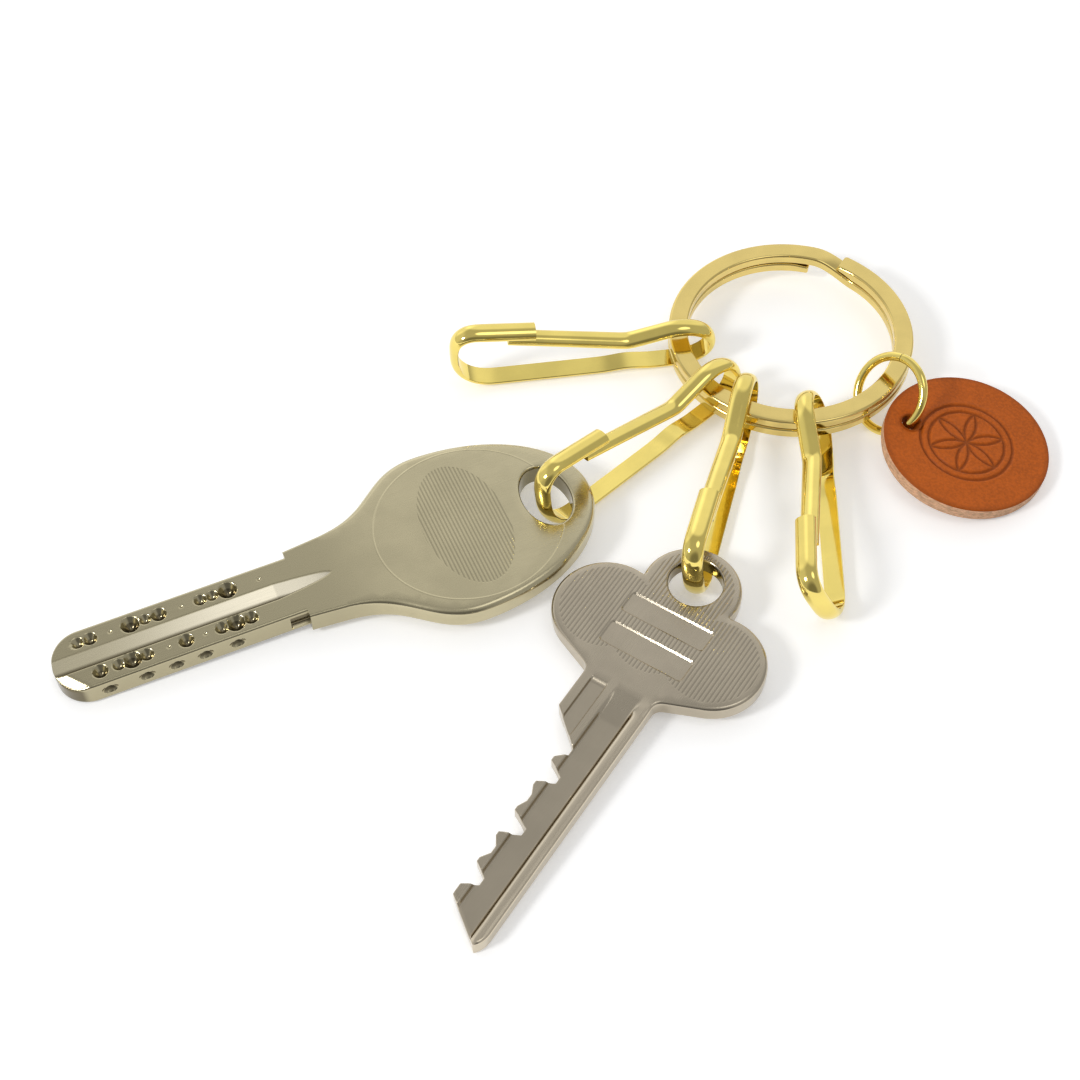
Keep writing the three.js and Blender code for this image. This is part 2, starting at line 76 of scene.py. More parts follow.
# Meshes: how near points merge, and the angle in degrees from which an edge stays sharp.
MERGE, NO_SIZE = 2e-7, 1e-8
SHARP, SHARP_LEATHER, SHARP_MILLED = 34.0, 60.0, 50.0

# Split ring: sections along the wire, and the close ones that round off its ends.
RING_SECTIONS = 560
RING_END_STEPS = np.array([0.0, 0.03, 0.08, 0.15, 0.24, 0.34]) * MM

# Hooks: their number, which ones hold the keys, and the steps and easing of their line.
HOOK_COUNT = 4
DIMPLE_HOOK, PIN_HOOK = 2, 3
HOOK_STEP, HOOK_EASING = 0.16 * MM, 26
# Shares of the cap's length where the strip widens, and of the reach where the arm has full width.
CAP_WIDENS, ARM_NARROW = (0.62, 0.95), 0.62

# Leather tag: rows of its round edges, walls, top and underside, columns round it, the directions
# of its flower's arcs, and its outer ring's radius as a share of the flower's.
TAG_ROUND, TAG_WALL, TAG_TOP, TAG_UNDER, TAG_COLUMNS = 6, 5, 120, 26, 360
PETALS = [math.radians(60 * sixth + 30) for sixth in range(6)]
OUTER_RING = 1.22
# Its face: height of the soft swell, the radii between which that dies away, and the hole's wear.
TAG_SWELL, SWELL_EDGE, HOLE_WEAR = 0.05 * MM, (8 * MM, 9.6 * MM), 0.12 * MM

# Keys: points round a quarter of an edge, the length of a step in an outline, the play on the hook,
# the grid of points inside a level face, with the share of its step kept clear of the rims, the
# depth of engraved lines, and the close columns at a groove's wall.
ROUND_POINTS = 7
STEP_RUN = 0.03 * MM
HOOK_PLAY = 0.5 * MM
FACE_GRID, GRID_CLEAR = 0.8 * MM, 0.45
ENGRAVED = 0.05 * MM
WALL_COLUMNS = np.linspace(-0.26, 0.26, 14) * MM

# Dimple key: place along the blade and width of each pit, on both sides of the groove, then places
# of the oval pits in the two walls, with their half length, half height and depth. Millimetres.
PITS_WIDE_SIDE = (
    (3.5, 1.5), (4.9, 1.7), (7.2, 0.45), (9.5, 2.2), (11.2, 1.4), (12.8, 1.8), (15.4, 0.45),
    (17.6, 1.5), (19.0, 1.4), (20.8, 2.2), (24.5, 0.45),
)
PITS_STEEP_SIDE = (
    (4.8, 1.8), (6.9, 1.5), (8.4, 2.2), (10.1, 1.6), (12.6, 0.45), (14.6, 1.8), (16.8, 0.45),
    (18.7, 1.6), (20.3, 2.2), (22.1, 1.7),
)
PITS_LOW_WALL = (5.2, 9.4, 12.8, 16.1, 19.8)
PITS_HIGH_WALL = (7.1, 11.3, 14.2, 18.6, 22.4)
WALL_PIT = (1.0, 0.62, 0.75)
PIT_BOWL = 1.7
# The tip's facet: a point on its edge, the direction across it and where it ends.
FACET_EDGE, FACET_ACROSS, FACET_END = (0.5 * MM, -0.3 * MM), (0.776, 0.631), (3.6 * MM, 5.4 * MM)
# The wall's notch: the run where it starts, and the heights from the wall's middle where it ends.
NOTCH_EASE, NOTCH_HALF = 0.1 * MM, (0.8 * MM, 0.95 * MM)
# Steps along the blade and across its two faces, and the run where the bow's edge swells.
DIMPLE_STEP, DIMPLE_ABOVE, DIMPLE_BELOW, BOW_SWELL = 0.1 * MM, 0.1 * MM, 0.16 * MM, 6 * MM
# Colour of the painted shade deep in the dimple key's blade.
DEEP_SHADE = (0.15, 0.125, 0.075)

# Pin key: depths of its cuts, and the blank panels' places from the bow's end, widths and heights.
PIN_CUTS = (4.6, 3.7, 5.1, 3.5, 4.8, 4.1)
BLANK_PANELS = ((10.9, 10.6, 2.9), (15.4, 10.6, 3.1))
# The panels' corners at the rim and the floor, how much smaller the floor is, and their depth.
RIM_CORNER, FLOOR_CORNER, FLOOR_LESS, PANEL_DEPTH = 0.45 * MM, 0.35 * MM, 0.36, 0.16 * MM
# Steps along the blade and across its upper and lower face.
PIN_STEP, PIN_ABOVE, PIN_BELOW = 0.16 * MM, 0.15 * MM, 0.2 * MM
# Easing of the grooves' walls, the runs where grooves and bead fade out, and the tip's bevel.
WALL_EASE, SECOND_EASE = 0.24 * MM, 0.1 * MM
GROOVE_FADE, SECOND_FADE, BEAD_FADE = 4.0 * MM, 0.7 * MM, 1.6 * MM
BEVEL_WIDTH, BEVEL_SLOPE = 0.4 * MM, 0.3
# The line out of the neck: length and lean of its start, steps and easing.
NECK_RUN, NECK_LEAN, NECK_STEP, NECK_EASING = 0.7 * MM, 0.12 * MM, 0.25 * MM, 6

# Stage: sky patches as direction, start and end of their edge and added light; lamp and camera.
SKY_LEVEL = 0.5
SKY_PATCHES = (
    ((0.19, 0.874, 0.445), 0.76, 0.9, 0.44),
    ((-0.55, 0.78, 0.3), 0.8, 0.96, 0.45),
    ((-0.93, 0.1, 0.35), 0.75, 0.95, 0.2),
    ((0.3, -0.15, 0.94), 0.958, 0.99, 1.3),
    ((0.0, -0.97, 0.25), 0.72, 0.96, -0.3),
)
LAMP_PLACE, LAMP_SIZE, LAMP_POWER = np.array([-0.61, -0.345, 0.56]), 0.17, 3.1
FLOOR_HALF, FLOOR_DROP, FLOOR_GLOW = 1.2, 0.02 * MM, 0.28
AIM_FROM_RING = np.array([-30.8, -28.61, 0.0]) * MM
CAMERA_DOWN, CAMERA_AWAY = math.radians(53.03), 232.18 * MM
SENSOR, FOCUS = 36.0, 2000 / 1080


def length(name, text, millimetres):
    """A size in Blender's length unit, with its default in millimetres."""
    return bpy.props.FloatProperty(
        name=name, description=text, default=millimetres * MM, unit="LENGTH", precision=5
    )


def angle(name, text, degrees):
    """An angle property, with its default in degrees."""
    return bpy.props.FloatProperty(
        name=name, description=text, default=math.radians(degrees), subtype="ANGLE"
    )


def share(name, text, default):
    """A plain number between 0 and 1."""
    return bpy.props.FloatProperty(name=name, description=text, default=default, min=0.0, max=1.0)


def tint(name, text, *colour):
    """A colour property in linear light."""
    return bpy.props.FloatVectorProperty(
        name=name, description=text, default=colour, size=3, min=0.0, max=1.0, subtype="COLOR"
    )


class SplitRingSizes(bpy.types.PropertyGroup):
    """Flat wire wound in two turns."""

    diameter: length("Diameter", "Across the outside of the ring", 30)
    wire_width: length("Wire width", "Width of the flat wire, across the ring's plane", 2.35)
    wire_thickness: length("Wire thickness", "Thickness of one turn", 1.3)
    turn_gap: length("Turn gap", "Space between the two turns", 0.15)
    edge: length("Edge", "Rounding of the wire's edges", 0.3)
    end_angle: angle("End angle", "Where the upper end stands", 58)
    end_apart: angle("Ends apart", "How far the lower end stands from the upper one", 17)
    crank: angle("Crank", "How far round the wire takes to pass from one turn to the next", 25)
    crank_lead: angle("Crank lead", "How far ahead of the upper end the crank begins", 15)
    taper: angle("Taper", "How far round each end is thinned", 11)
    thin: share("Thin", "Share of the thickness left at the upper end", 0.58)
    thin_low: share("Thin below", "Share of the thickness left at the lower end", 0.82)


class SpringHookSizes(bpy.types.PropertyGroup):
    """One bent strip, with an eye, a springing arm and a cap over its tip."""

    width: length("Strip width", "Width of the strip", 2.42)
    thickness: length("Strip thickness", "Thickness at the crown of the arched outside", 0.95)
    side: length("Strip side", "Height of the strip's straight sides", 0.1)
    eye_reach: length("Eye reach", "Half the length of the eye", 3.75)
    eye_height: length("Eye height", "Height of the eye inside", 5.5)
    eye_top: angle("Eye top", "Where the eye passes into the neck", 66)
    split: angle("Split", "Where the springing arm begins, on the eye", 104)
    neck_reach: length("Neck reach", "From the wire to the neck", 6.4)
    neck_opening: length("Neck opening", "Inside height at the neck", 3.55)
    neck_rise: length("Neck rise", "Rise of the lower arm under the neck", 0.4)
    root_share: share("Root", "Share of the way from eye to neck where the arm turns", 0.76)
    reach: length("Reach", "From the wire to the inside of the far bend", 27.3)
    far_opening: length("Far opening", "Inside height at the far bend", 8.65)
    far_corner: length("Far corner", "Rounding of the far bend's upper corner", 2.0)
    cap_length: length("Cap length", "From the far bend's inside to the cap's end", 9.4)
    cap_slope: angle("Cap slope", "Slope of the cap", 9.4)
    cap_width: length("Cap width", "Width of the cap", 2.48)
    cap_skirt: length("Cap skirt", "How far the cap's sides hang beside the arm's tip", 0.1)
    cap_hollow: length("Cap hollow", "Hollow under the cap's crown", 0.34)
    gate_lap: length("Arm lap", "Length of the arm under the cap", 3.4)
    gate_drop: length("Arm drop", "Space between the cap and the arm's tip", 0.22)
    gate_width: length("Arm width", "Width of the arm at its tip", 2.3)


class JumpRingSizes(bpy.types.PropertyGroup):
    """Round wire bent to a ring, with a fine joint."""

    diameter: length("Diameter", "Across the outside", 10.2)
    wire: length("Wire", "Diameter of the wire", 1.1)
    tilt: angle("Tilt", "Tilt of the ring's plane", 52.3)
    turn: angle("Turn", "Heading of the tilt", -146.1)
    joint_place: angle("Joint place", "Where the two ends of the wire meet", 200)
    joint: length("Joint", "Space between the ends", 0.07)


class LeatherTagSizes(bpy.types.PropertyGroup):
    """A round of thick leather with a hole near its edge."""

    diameter: length("Diameter", "Across the tag", 20)
    thickness: length("Thickness", "Thickness of the leather", 1.8)
    hole: length("Hole", "Diameter of the hole", 2.1)
    hole_inset: length("Hole inset", "From the tag's edge to the middle of the hole", 2.65)
    edge: length("Edge", "Rounding of the upper edge", 0.22)
    ease: length("Ease", "Bevel under the hole, worn by the ring", 0.4)
    slant: share("Slant", "Share of the ring wire's slant that the soft hole takes on", 0.8)
    heading: angle("Heading", "Direction from the hole to the tag's middle", -19)
    rosette: length("Rosette", "Radius of the tooled rosette", 4.55)
    line: length("Line", "Width of a tooled line", 0.3)
    press: length("Press", "Depth of a tooled line", 0.16)


class DimpleKeySizes(bpy.types.PropertyGroup):
    """A flat blade with a groove and rows of pits, and an egg-shaped bow."""

    length: length("Length", "From the tip to the end of the bow", 64.0)
    thickness: length("Thickness", "Thickness of the key", 2.9)
    edge: length("Edge", "Rounding of its edges", 0.34)
    bow_edge: length("Bow edge", "Rounding of the bow's edges", 0.8)
    heading: angle("Heading", "Direction from the tip to the bow", 23.2)
    back: length("Back", "From the hook's far end to the middle of the hole", 1.3)
    side: length("Side", "Sideways place of the hole on the hook", -1.4)
    blade: length("Blade", "Length of the blade", 28.1)
    blade_width: length("Blade width", "Width of the blade", 8.0)
    tip: length("Tip", "Length of the rounded tip", 3.7)
    facet: angle("Facet", "Slope of the flat facet on the tip's corner", 35)
    notch: length("Notch", "Length of the notch in the wall at the shoulder", 2.1)
    notch_depth: length("Notch depth", "Depth of that notch", 0.5)
    shoulder: length("Shoulder", "Width at the shoulder", 9.8)
    neck: length("Neck", "Length of the neck", 4.3)
    neck_width: length("Neck width", "Width at the end of the neck", 10.6)
    neck_flare: share("Neck flare", "How far the neck leans out into the bow", 0.12)
    bow_flare: share("Bow flare", "How soon the bow reaches its width", 0.9)
    bow_width: length("Bow width", "Width of the bow", 23.6)
    bow_end: length("Bow end", "From the widest place to the end of the bow", 17.5)
    hole_length: length("Hole length", "Length of the oval hole, across the key", 8.6)
    hole_width: length("Hole width", "Width of the oval hole, along the key", 5.6)
    hole_inset: length("Hole inset", "From the end of the bow to the middle of the hole", 5.4)
    groove: length("Groove", "Length of the groove", 32.2)
    groove_wide: length("Groove wide", "From the blade's middle to the groove's wide side", 1.05)
    groove_steep: length("Groove steep", "From the blade's middle to its steep side", 1.3)
    groove_line: length("Groove line", "From the blade's middle to the groove's bottom", 0.65)
    groove_depth: length("Groove depth", "Depth of the groove", 0.7)
    groove_point: length("Groove point", "Length over which the groove runs out", 6.5)
    pit_row: length("Pit row", "From the blade's middle to a row of pits", 2.3)
    pit_depth: share("Pit depth", "Depth of a pit, as a share of its width", 0.5)
    panel: length("Panel", "Length of the fine-line panel, across the key", 17.6)
    panel_width: length("Panel width", "Width of the panel, along the key", 10)
    panel_inset: length("Panel inset", "From the end of the bow to the panel's middle", 15.4)
    border: length("Border", "Length of the raised line round the panel, along the key", 22)


class PinKeySizes(bpy.types.PropertyGroup):
    """A grooved blade with cuts along one edge, and a bow of three lobes."""

    length: length("Length", "From the tip to the end of the bow", 54.2)
    thickness: length("Thickness", "Thickness of the key", 2.2)
    edge: length("Edge", "Rounding of the blade's cut side", 0.14)
    back_edge: length("Back edge", "Rounding of the blade's back", 0.4)
    bow_edge: length("Bow edge", "Rounding of the bow's edges", 0.5)
    hole_edge: length("Hole edge", "Rounding of the hole's edges", 0.3)
    heading: angle("Heading", "Direction from the tip to the bow", 56.8)
    back: length("Back", "From the hook's far end to the middle of the hole", 0.7)
    side: length("Side", "Sideways place of the hole on the hook", 0.1)
    blade: length("Blade", "Length of the blade", 33.1)
    blade_width: length("Blade width", "Width of the blade", 8.7)
    tip_rise: length("Tip rise", "Length of the slanted tip", 3.5)
    tip_point: length("Tip point", "From the blade's back to the point of the tip", 0.95)
    tip_round: length("Tip round", "Length of the rounded corner at the back", 2.0)
    ridge: length("Ridge", "From the blade's cut side to the tops between the cuts", 3)
    shoulder: length("Shoulder", "Length of the full-width shoulder", 5.2)
    cut_start: length("Cut start", "From the tip to the first cut", 6.3)
    cut_pitch: length("Cut pitch", "Spacing of the cuts", 3.5)
    cut_flat: length("Cut flat", "Flat at the bottom of a cut", 0.9)
    cut_slope: share("Cut slope", "Share of the space between cuts that their flanks take", 0.8)
    groove: length("Groove", "Width of the groove", 3)
    groove_depth: length("Groove depth", "Depth of the groove", 0.48)
    groove_offset: length("Groove offset", "From the blade's middle to the groove's", -1.3)
    second: length("Second groove", "Width of the shallow groove at the shoulder", 1.9)
    second_depth: length("Second depth", "Depth of the shallow groove", 0.3)
    second_place: length("Second place", "From the blade's middle to the shallow groove's", 2.25)
    bead_drop: length("Bead drop", "Fall of the rounded bead along the back", 0.45)
    lobe: length("Lobe", "Radius of a side lobe", 6.2)
    lobe_side: length("Lobe side", "From the key's middle to a side lobe's", 6.7)
    lobe_back: length("Lobe back", "From the end of the bow to a side lobe's middle", 12.8)
    lobe_start: angle("Lobe start", "Where a side lobe begins at the neck", 200)
    end_lobe: length("End lobe", "Radius of the end lobe", 5.7)
    hole: length("Hole", "Diameter of the hole", 6.2)
    hole_inset: length("Hole inset", "From the end of the bow to the middle of the hole", 4.7)


class Finishes(bpy.types.PropertyGroup):
    """Colours of the metals, the leather and the stage."""

    gold: tint("Gold", "Yellow gold plate of the hooks", 0.87, 0.7, 0.2)
    champagne: tint("Champagne", "Pale gold plate of the split ring", 0.76, 0.59, 0.21)
    leather: tint("Leather", "Grain side of the tag", 0.45, 0.094, 0.006)
    raw_edge: tint("Raw edge", "Cut side of the leather", 0.88, 0.54, 0.34)
    warm_nickel: tint("Warm nickel", "Plate of the dimple key", 0.56, 0.5, 0.325)
    # Painted highlight: the milled groove's pale colour stands in for its bright reflection.
    bare_metal_highlight: tint("Bare metal", "Milled groove of the dimple key", 0.84, 0.775, 0.61)
    cool_nickel: tint("Cool nickel", "Plate of the pin key", 0.5, 0.44, 0.34)
    floor: tint("Floor", "Floor under the keychain", 0.93, 0.93, 0.93)


class KeychainSettings(bpy.types.PropertyGroup):
    """All sizes and colours of the keychain."""

    ring: bpy.props.PointerProperty(type=SplitRingSizes, name="Split ring")
    hook: bpy.props.PointerProperty(type=SpringHookSizes, name="Spring hooks")
    jump: bpy.props.PointerProperty(type=JumpRingSizes, name="Jump ring")
    tag: bpy.props.PointerProperty(type=LeatherTagSizes, name="Leather tag")
    dimple: bpy.props.PointerProperty(type=DimpleKeySizes, name="Dimple key")
    pin: bpy.props.PointerProperty(type=PinKeySizes, name="Pin key")
    finish: bpy.props.PointerProperty(type=Finishes, name="Finishes")


def grid_faces(rows, columns, loop_rows=False, loop_columns=False):
    """Quads between neighbouring points of a grid that is numbered row by row."""
    row = np.arange(rows if loop_rows else rows - 1)[:, None]
    column = np.arange(columns if loop_columns else columns - 1)[None, :]
    next_row, next_column = (row + 1) % rows, (column + 1) % columns
    corners = ((row, column), (row, next_column), (next_row, next_column), (next_row, column))
    return np.stack([a * columns + b for a, b in corners], -1).reshape(-1, 4).tolist()


def smoothstep(value, low, high):
    """0 below low, 1 above high, and an eased rise between them."""
    t = np.clip((np.asarray(value, float) - low) / (high - low), 0.0, 1.0)
    return t * t * (3.0 - 2.0 * t)


def turned(points, about_y, about_z, origin):
    """Points turned about Y, then about Z, then moved by origin."""
    cy, sy, cz, sz = math.cos(about_y), math.sin(about_y), math.cos(about_z), math.sin(about_z)
    tilt = np.array([[cy, 0, sy], [0, 1, 0], [-sy, 0, cy]])
    swing = np.array([[cz, -sz, 0], [sz, cz, 0], [0, 0, 1]])
    return points @ (swing @ tilt).T + np.asarray(origin)


def travelled(line):
    """Distance from the start of a polyline to each of its points."""
    return np.concatenate([[0.0], np.cumsum(np.linalg.norm(np.diff(line, axis=0), axis=1))])


def even_line(points, step, passes):
    """A polyline resampled at even steps, its corners eased by a running mean, its ends kept."""
    points = np.asarray(points)
    gone = travelled(points)
    at = np.linspace(0.0, gone[-1], int(gone[-1] / step) + 1)
    line = np.stack([np.interp(at, gone, points[:, axis]) for axis in range(points.shape[1])], -1)
    for _ in range(passes):
        line[1:-1] = (line[:-2] + 2.0 * line[1:-1] + line[2:]) / 4.0
    return line


def ellipse(x, y, across, up, start, end, count):
    """Points on an ellipse between two angles."""
    at = np.linspace(start, end, count)
    return np.stack([x + across * np.cos(at), y + up * np.sin(at)], -1)


def oval(x, across, up, count):
    """Closed loop of an oval on the x axis."""
    return ellipse(x, 0.0, across, up, 0.0, TURN, count + 1)[:-1]


def rounded_rectangle(width, height, radius, corner_points):
    """Closed outline of a rectangle whose corners are quarter circles."""
    corner = ellipse(0.0, 0.0, radius, radius, 0.0, QUARTER, corner_points)
    across, up = width / 2 - radius, height / 2 - radius
    outline = []
    for centre in ([across, up], [-across, up], [-across, -up], [across, -up]):
        outline.append(corner + centre)
        corner = np.stack([-corner[:, 1], corner[:, 0]], -1)
    return np.concatenate(outline)


def outward_at(at):
    """Level directions at some angles."""
    return np.stack([np.cos(at), np.sin(at), np.zeros_like(at)], -1)


def middle_of(solid):
    """Middle of a solid's box."""
    low, high = (np.array(corner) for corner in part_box(solid))
    return (low + high) / 2


def tube(profile, centres, across, up):
    """A profile carried along a path: each point is the centre plus its shares of across and up."""
    across, up = (np.broadcast_to(each, centres.shape)[:, None] for each in (across, up))
    points = centres[:, None] + profile[..., :1] * across + profile[..., 1:] * up
    rows, columns = points.shape[:2]
    last = (rows - 1) * columns
    faces = grid_faces(rows, columns, loop_columns=True)
    faces += [list(range(columns)), list(range(last, last + columns))]
    return points.reshape(-1, 3), faces


def placed(name, data):
    """An object with some data, linked to the scene."""
    made = bpy.data.objects.new(name, data)
    bpy.context.scene.collection.objects.link(made)
    return made


def closed_piece(name, points, faces, materials, slots=None, sharp=SHARP):
    """A mesh object with merged seams, faces that point outwards and its true edges kept sharp."""
    mesh = bpy.data.meshes.new(name)
    mesh.from_pydata(points.tolist(), [], faces)
    if slots is not None:
        mesh.polygons.foreach_set("material_index", slots)
    shell = bmesh.new()
    shell.from_mesh(mesh)
    bmesh.ops.remove_doubles(shell, verts=shell.verts, dist=MERGE)
    bmesh.ops.dissolve_degenerate(shell, dist=NO_SIZE, edges=shell.edges)
    bmesh.ops.recalc_face_normals(shell, faces=shell.faces)
    shell.to_mesh(mesh)
    shell.free()
    mesh.shade_smooth()
    mesh.set_sharp_from_angle(angle=math.radians(sharp))
    for material in materials:
        mesh.materials.append(material)
    return placed(name, mesh)


class Value:
    """What a shader works out at each place. Arithmetic on it adds nodes to the same tree."""

    def __init__(self, socket):
        self.socket = socket
        self.tree = socket.id_data

    def __add__(self, other):
        return maths("ADD", self, other)

    def __sub__(self, other):
        return maths("SUBTRACT", self, other)

    def __rsub__(self, other):
        return maths("SUBTRACT", other, self)

    def __mul__(self, other):
        return maths("MULTIPLY", self, other)

    def __truediv__(self, other):
        return maths("DIVIDE", self, other)

    def __abs__(self):
        return maths("ABSOLUTE", self)


def feed(shader, inputs):
    """Links values to a node's inputs, or sets plain ones on them."""
    for key, value in inputs.items():
        if isinstance(value, Value):
            value.tree.links.new(value.socket, shader.inputs[key])
        else:
            shader.inputs[key].default_value = value


def node(tree, kind, inputs=None, **settings):
    """A shader node with its settings made and its inputs fed."""
    made = tree.nodes.new(kind)
    for key, value in settings.items():
        setattr(made, key, value)
    feed(made, inputs or {})
    return made


def worked(kind, inputs, output=0, **settings):
    """One output of a new node, in the tree that its inputs come from."""
    tree = next(each.tree for each in inputs.values() if isinstance(each, Value))
    return Value(node(tree, kind, inputs, **settings).outputs[output])


def maths(operation, first, second=0.0):
    """One step of arithmetic on values."""
    return worked("ShaderNodeMath", {0: first, 1: second}, operation=operation)


def vector_maths(operation, first, second):
    """A number worked out from two vectors."""
    return worked("ShaderNodeVectorMath", {0: first, 1: second}, "Value", operation=operation)


def mixed(factor, first, second):
    """A colour between two colours."""
    inputs = {0: factor, 6: first, 7: second}
    return worked("ShaderNodeMix", inputs, 2, data_type="RGBA", clamp_factor=True)


def ranged(value, low, high, to_low=0.0, to_high=1.0):
    """A value moved from one range to another with an eased rise."""
    limits = {"From Min": low, "From Max": high, "To Min": to_low, "To Max": to_high}
    inputs = {"Value": value, **limits}
    return worked("ShaderNodeMapRange", inputs, interpolation_type="SMOOTHSTEP")


def noise(vector, scale, detail=3.0, roughness=0.5):
    """Soft noise in a pattern's own coordinates."""
    inputs = {"Vector": vector, "Scale": scale, "Detail": detail, "Roughness": roughness}
    return worked("ShaderNodeTexNoise", inputs, "Fac")


def stretched(vector, *scale):
    """Coordinates stretched along their axes."""
    return worked("ShaderNodeMapping", {"Vector": vector, "Scale": scale})


def own_frame(place, origin, about_y, about_z):
    """Coordinates in a piece's own frame, in millimetres."""
    inputs = {"Vector": place, "Location": origin, "Scale": (MM, MM, MM)}
    inputs["Rotation"] = (0.0, about_y, about_z)
    return worked("ShaderNodeMapping", inputs, vector_type="TEXTURE")


def split_up(vector):
    """The three coordinates of a vector."""
    made = node(vector.tree, "ShaderNodeSeparateXYZ", {"Vector": vector})
    return [Value(part) for part in made.outputs]


def level_place(x, y):
    """A vector from two coordinates, without height."""
    return worked("ShaderNodeCombineXYZ", {"X": x, "Y": y})


def coordinates(tree, kind):
    """One kind of Blender's coordinates."""
    return Value(node(tree, "ShaderNodeTexCoord").outputs[kind])


def rgba(colour, shade=1.0):
    """A colour as four numbers, scaled in brightness."""
    return (*(part * shade for part in colour), 1.0)


def clouded(clouds, colour, dark, pale):
    """Two shades of a colour in soft clouds."""
    return mixed(ranged(clouds, 0.3, 0.7), rgba(colour, dark), rgba(colour, pale))


def shaded(tone, colour, *layers):
    """A tone with shades of a colour laid over it, each where its amount says."""
    for amount, shade in layers:
        tone = mixed(amount, tone, rgba(colour, shade))
    return tone


def new_finish(name, metallic, roughness):
    """A material, its main shader and the piece's coordinates."""
    material = bpy.data.materials.new(name)
    material.use_nodes = True
    main = material.node_tree.nodes["Principled BSDF"]
    feed(main, {"Metallic": metallic, "Roughness": roughness})
    return material, main, coordinates(material.node_tree, "Object")


def bump(main, height, strength, distance):
    """Gives the main shader a bump from a height."""
    inputs = {"Height": height, "Strength": strength, "Distance": distance}
    feed(main, {"Normal": worked("ShaderNodeBump", inputs)})


def plated(name, colour, smooth, rough):
    """Polished plate: two near tones in soft clouds, cloudy gloss and faint polishing marks."""
    material, main, place = new_finish(name, 1.0, smooth)
    gloss = ranged(noise(place, 900.0, 5.0, 0.6), 0.35, 0.75, smooth, rough)
    tone = clouded(noise(place, 260.0, 4.0), colour, 0.95, 1.04)
    feed(main, {"Base Color": tone, "Roughness": gloss})
    bump(main, noise(place, 5200.0, 2.0), 0.12, 0.01 * MM)
    return material


def split_ring_path(sizes):
    """Centre line of the wire, its outward directions and the angles passed from both ends.

    The line is a circle. Its height is half a pitch above the middle, less one pitch times the
    eased share of the crank passed.
    """
    radius = (sizes.diameter - sizes.wire_width) / 2
    total = 2 * TURN - sizes.end_apart
    close = RING_END_STEPS / radius
    even = np.linspace(close[-1], total - close[-1], RING_SECTIONS)
    passed = np.unique(np.concatenate([close, even, total - close]))
    crank_start = TURN - sizes.crank_lead
    sunk = smoothstep(passed, crank_start, crank_start + sizes.crank)
    outward = outward_at(sizes.end_angle - passed)
    rise = (0.5 - sunk) * (sizes.wire_thickness + sizes.turn_gap)
    line = middle_of("split_ring") + radius * outward + rise[:, None] * UP
    return line, outward, passed, total - passed


def split_ring_sections(sizes, passed, left):
    """The wire's rounded sections, with round corners at its ends.

    It is thinned from below at the upper end and from above at the lower end.
    """
    profile = rounded_rectangle(sizes.wire_width, sizes.wire_thickness, sizes.edge, 6)
    half = sizes.wire_thickness / 2
    first = sizes.thin + (1 - sizes.thin) * smoothstep(passed, 0.0, sizes.taper)[:, None]
    last = sizes.thin_low + (1 - sizes.thin_low) * smoothstep(left, 0.0, sizes.taper)[:, None]
    height = half - (half - profile[:, 1]) * first
    height = (height + half) * last - half
    corner = RING_END_STEPS[-1]
    ahead = np.clip(np.minimum(passed, left) * sizes.diameter / 2, 0.0, corner)
    drawn = corner - np.sqrt(corner**2 - (corner - ahead) ** 2)
    across = profile[:, 0] * (1 - 2 * drawn / sizes.wire_width)[:, None]
    return np.stack([across, height], -1)


class KEYCHAIN_OT_split_ring(bpy.types.Operator):
    """Winds the split ring from flat wire."""

    bl_idname = "keychain.split_ring"
    bl_label = "Split Ring"

    def execute(self, context):
        settings = context.scene.keychain
        centres, outward, passed, left = split_ring_path(settings.ring)
        sections = split_ring_sections(settings.ring, passed, left)
        points, faces = tube(sections, centres, outward, UP)
        gold = plated("champagne_plate", settings.finish.champagne, 0.09, 0.18)
        ring = closed_piece("wound_split_ring", points, faces, [gold])
        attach(ring, "split_ring")
        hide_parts("split_ring")
        return {"FINISHED"}


def hook_place(sizes, number):
    """Start of a hook's line, and its outward, sideways and upward directions."""
    gate = JOINTS[f"hook_{number}_gate_spring"]
    origin = np.array(JOINTS[f"hook_{number}_swing"]["pos_m"])
    sideways = np.array(gate["axis"])
    outward = np.cross(sideways, UP)
    outward /= np.linalg.norm(outward)
    upward = np.cross(outward, sideways)
    lean = math.asin(sideways[2])
    drop = (origin[2] - arm_depth(sizes, lean)) / math.cos(lean)
    slack = (np.array(gate["pos_m"]) - origin) @ outward - hook_marks(sizes)["root"][0]
    return origin + slack * outward - drop * upward, outward, sideways, upward


def arm_depth(sizes, lean):
    """How far a strip that leans reaches below the middle of its flat face."""
    return math.hypot(sizes.width / 2 * math.sin(lean), sizes.thickness * math.cos(lean))


def arm_top(sizes, lean):
    """How high the upper edge of such a strip's flat face stands above the table."""
    return arm_depth(sizes, lean) + sizes.width / 2 * math.sin(abs(lean))


def eye_point(sizes, at):
    """Point on the hook's eye at an angle."""
    half = sizes.eye_height / 2
    return ellipse(0.0, half, sizes.eye_reach, half, at, at, 1)[0]


def hook_marks(sizes):
    """Named points of the hook's line in its upright plane: neck, eye, root, cap end and tip."""
    neck = np.array([sizes.neck_reach, sizes.neck_rise + sizes.neck_opening])
    eye_top = eye_point(sizes, sizes.eye_top)
    slope = math.tan(sizes.cap_slope)
    cap_drop = (sizes.cap_length - sizes.far_opening / 2) * slope
    cap_end = np.array([sizes.reach - sizes.cap_length, sizes.far_opening - cap_drop])
    lap_rise = sizes.gate_lap * slope - sizes.gate_drop - sizes.thickness
    return {
        "neck": neck,
        "eye_top": eye_top,
        "root": eye_top + sizes.root_share * (neck - eye_top),
        "cap_end": cap_end,
        "tip": cap_end + [sizes.gate_lap, lap_rise],
    }


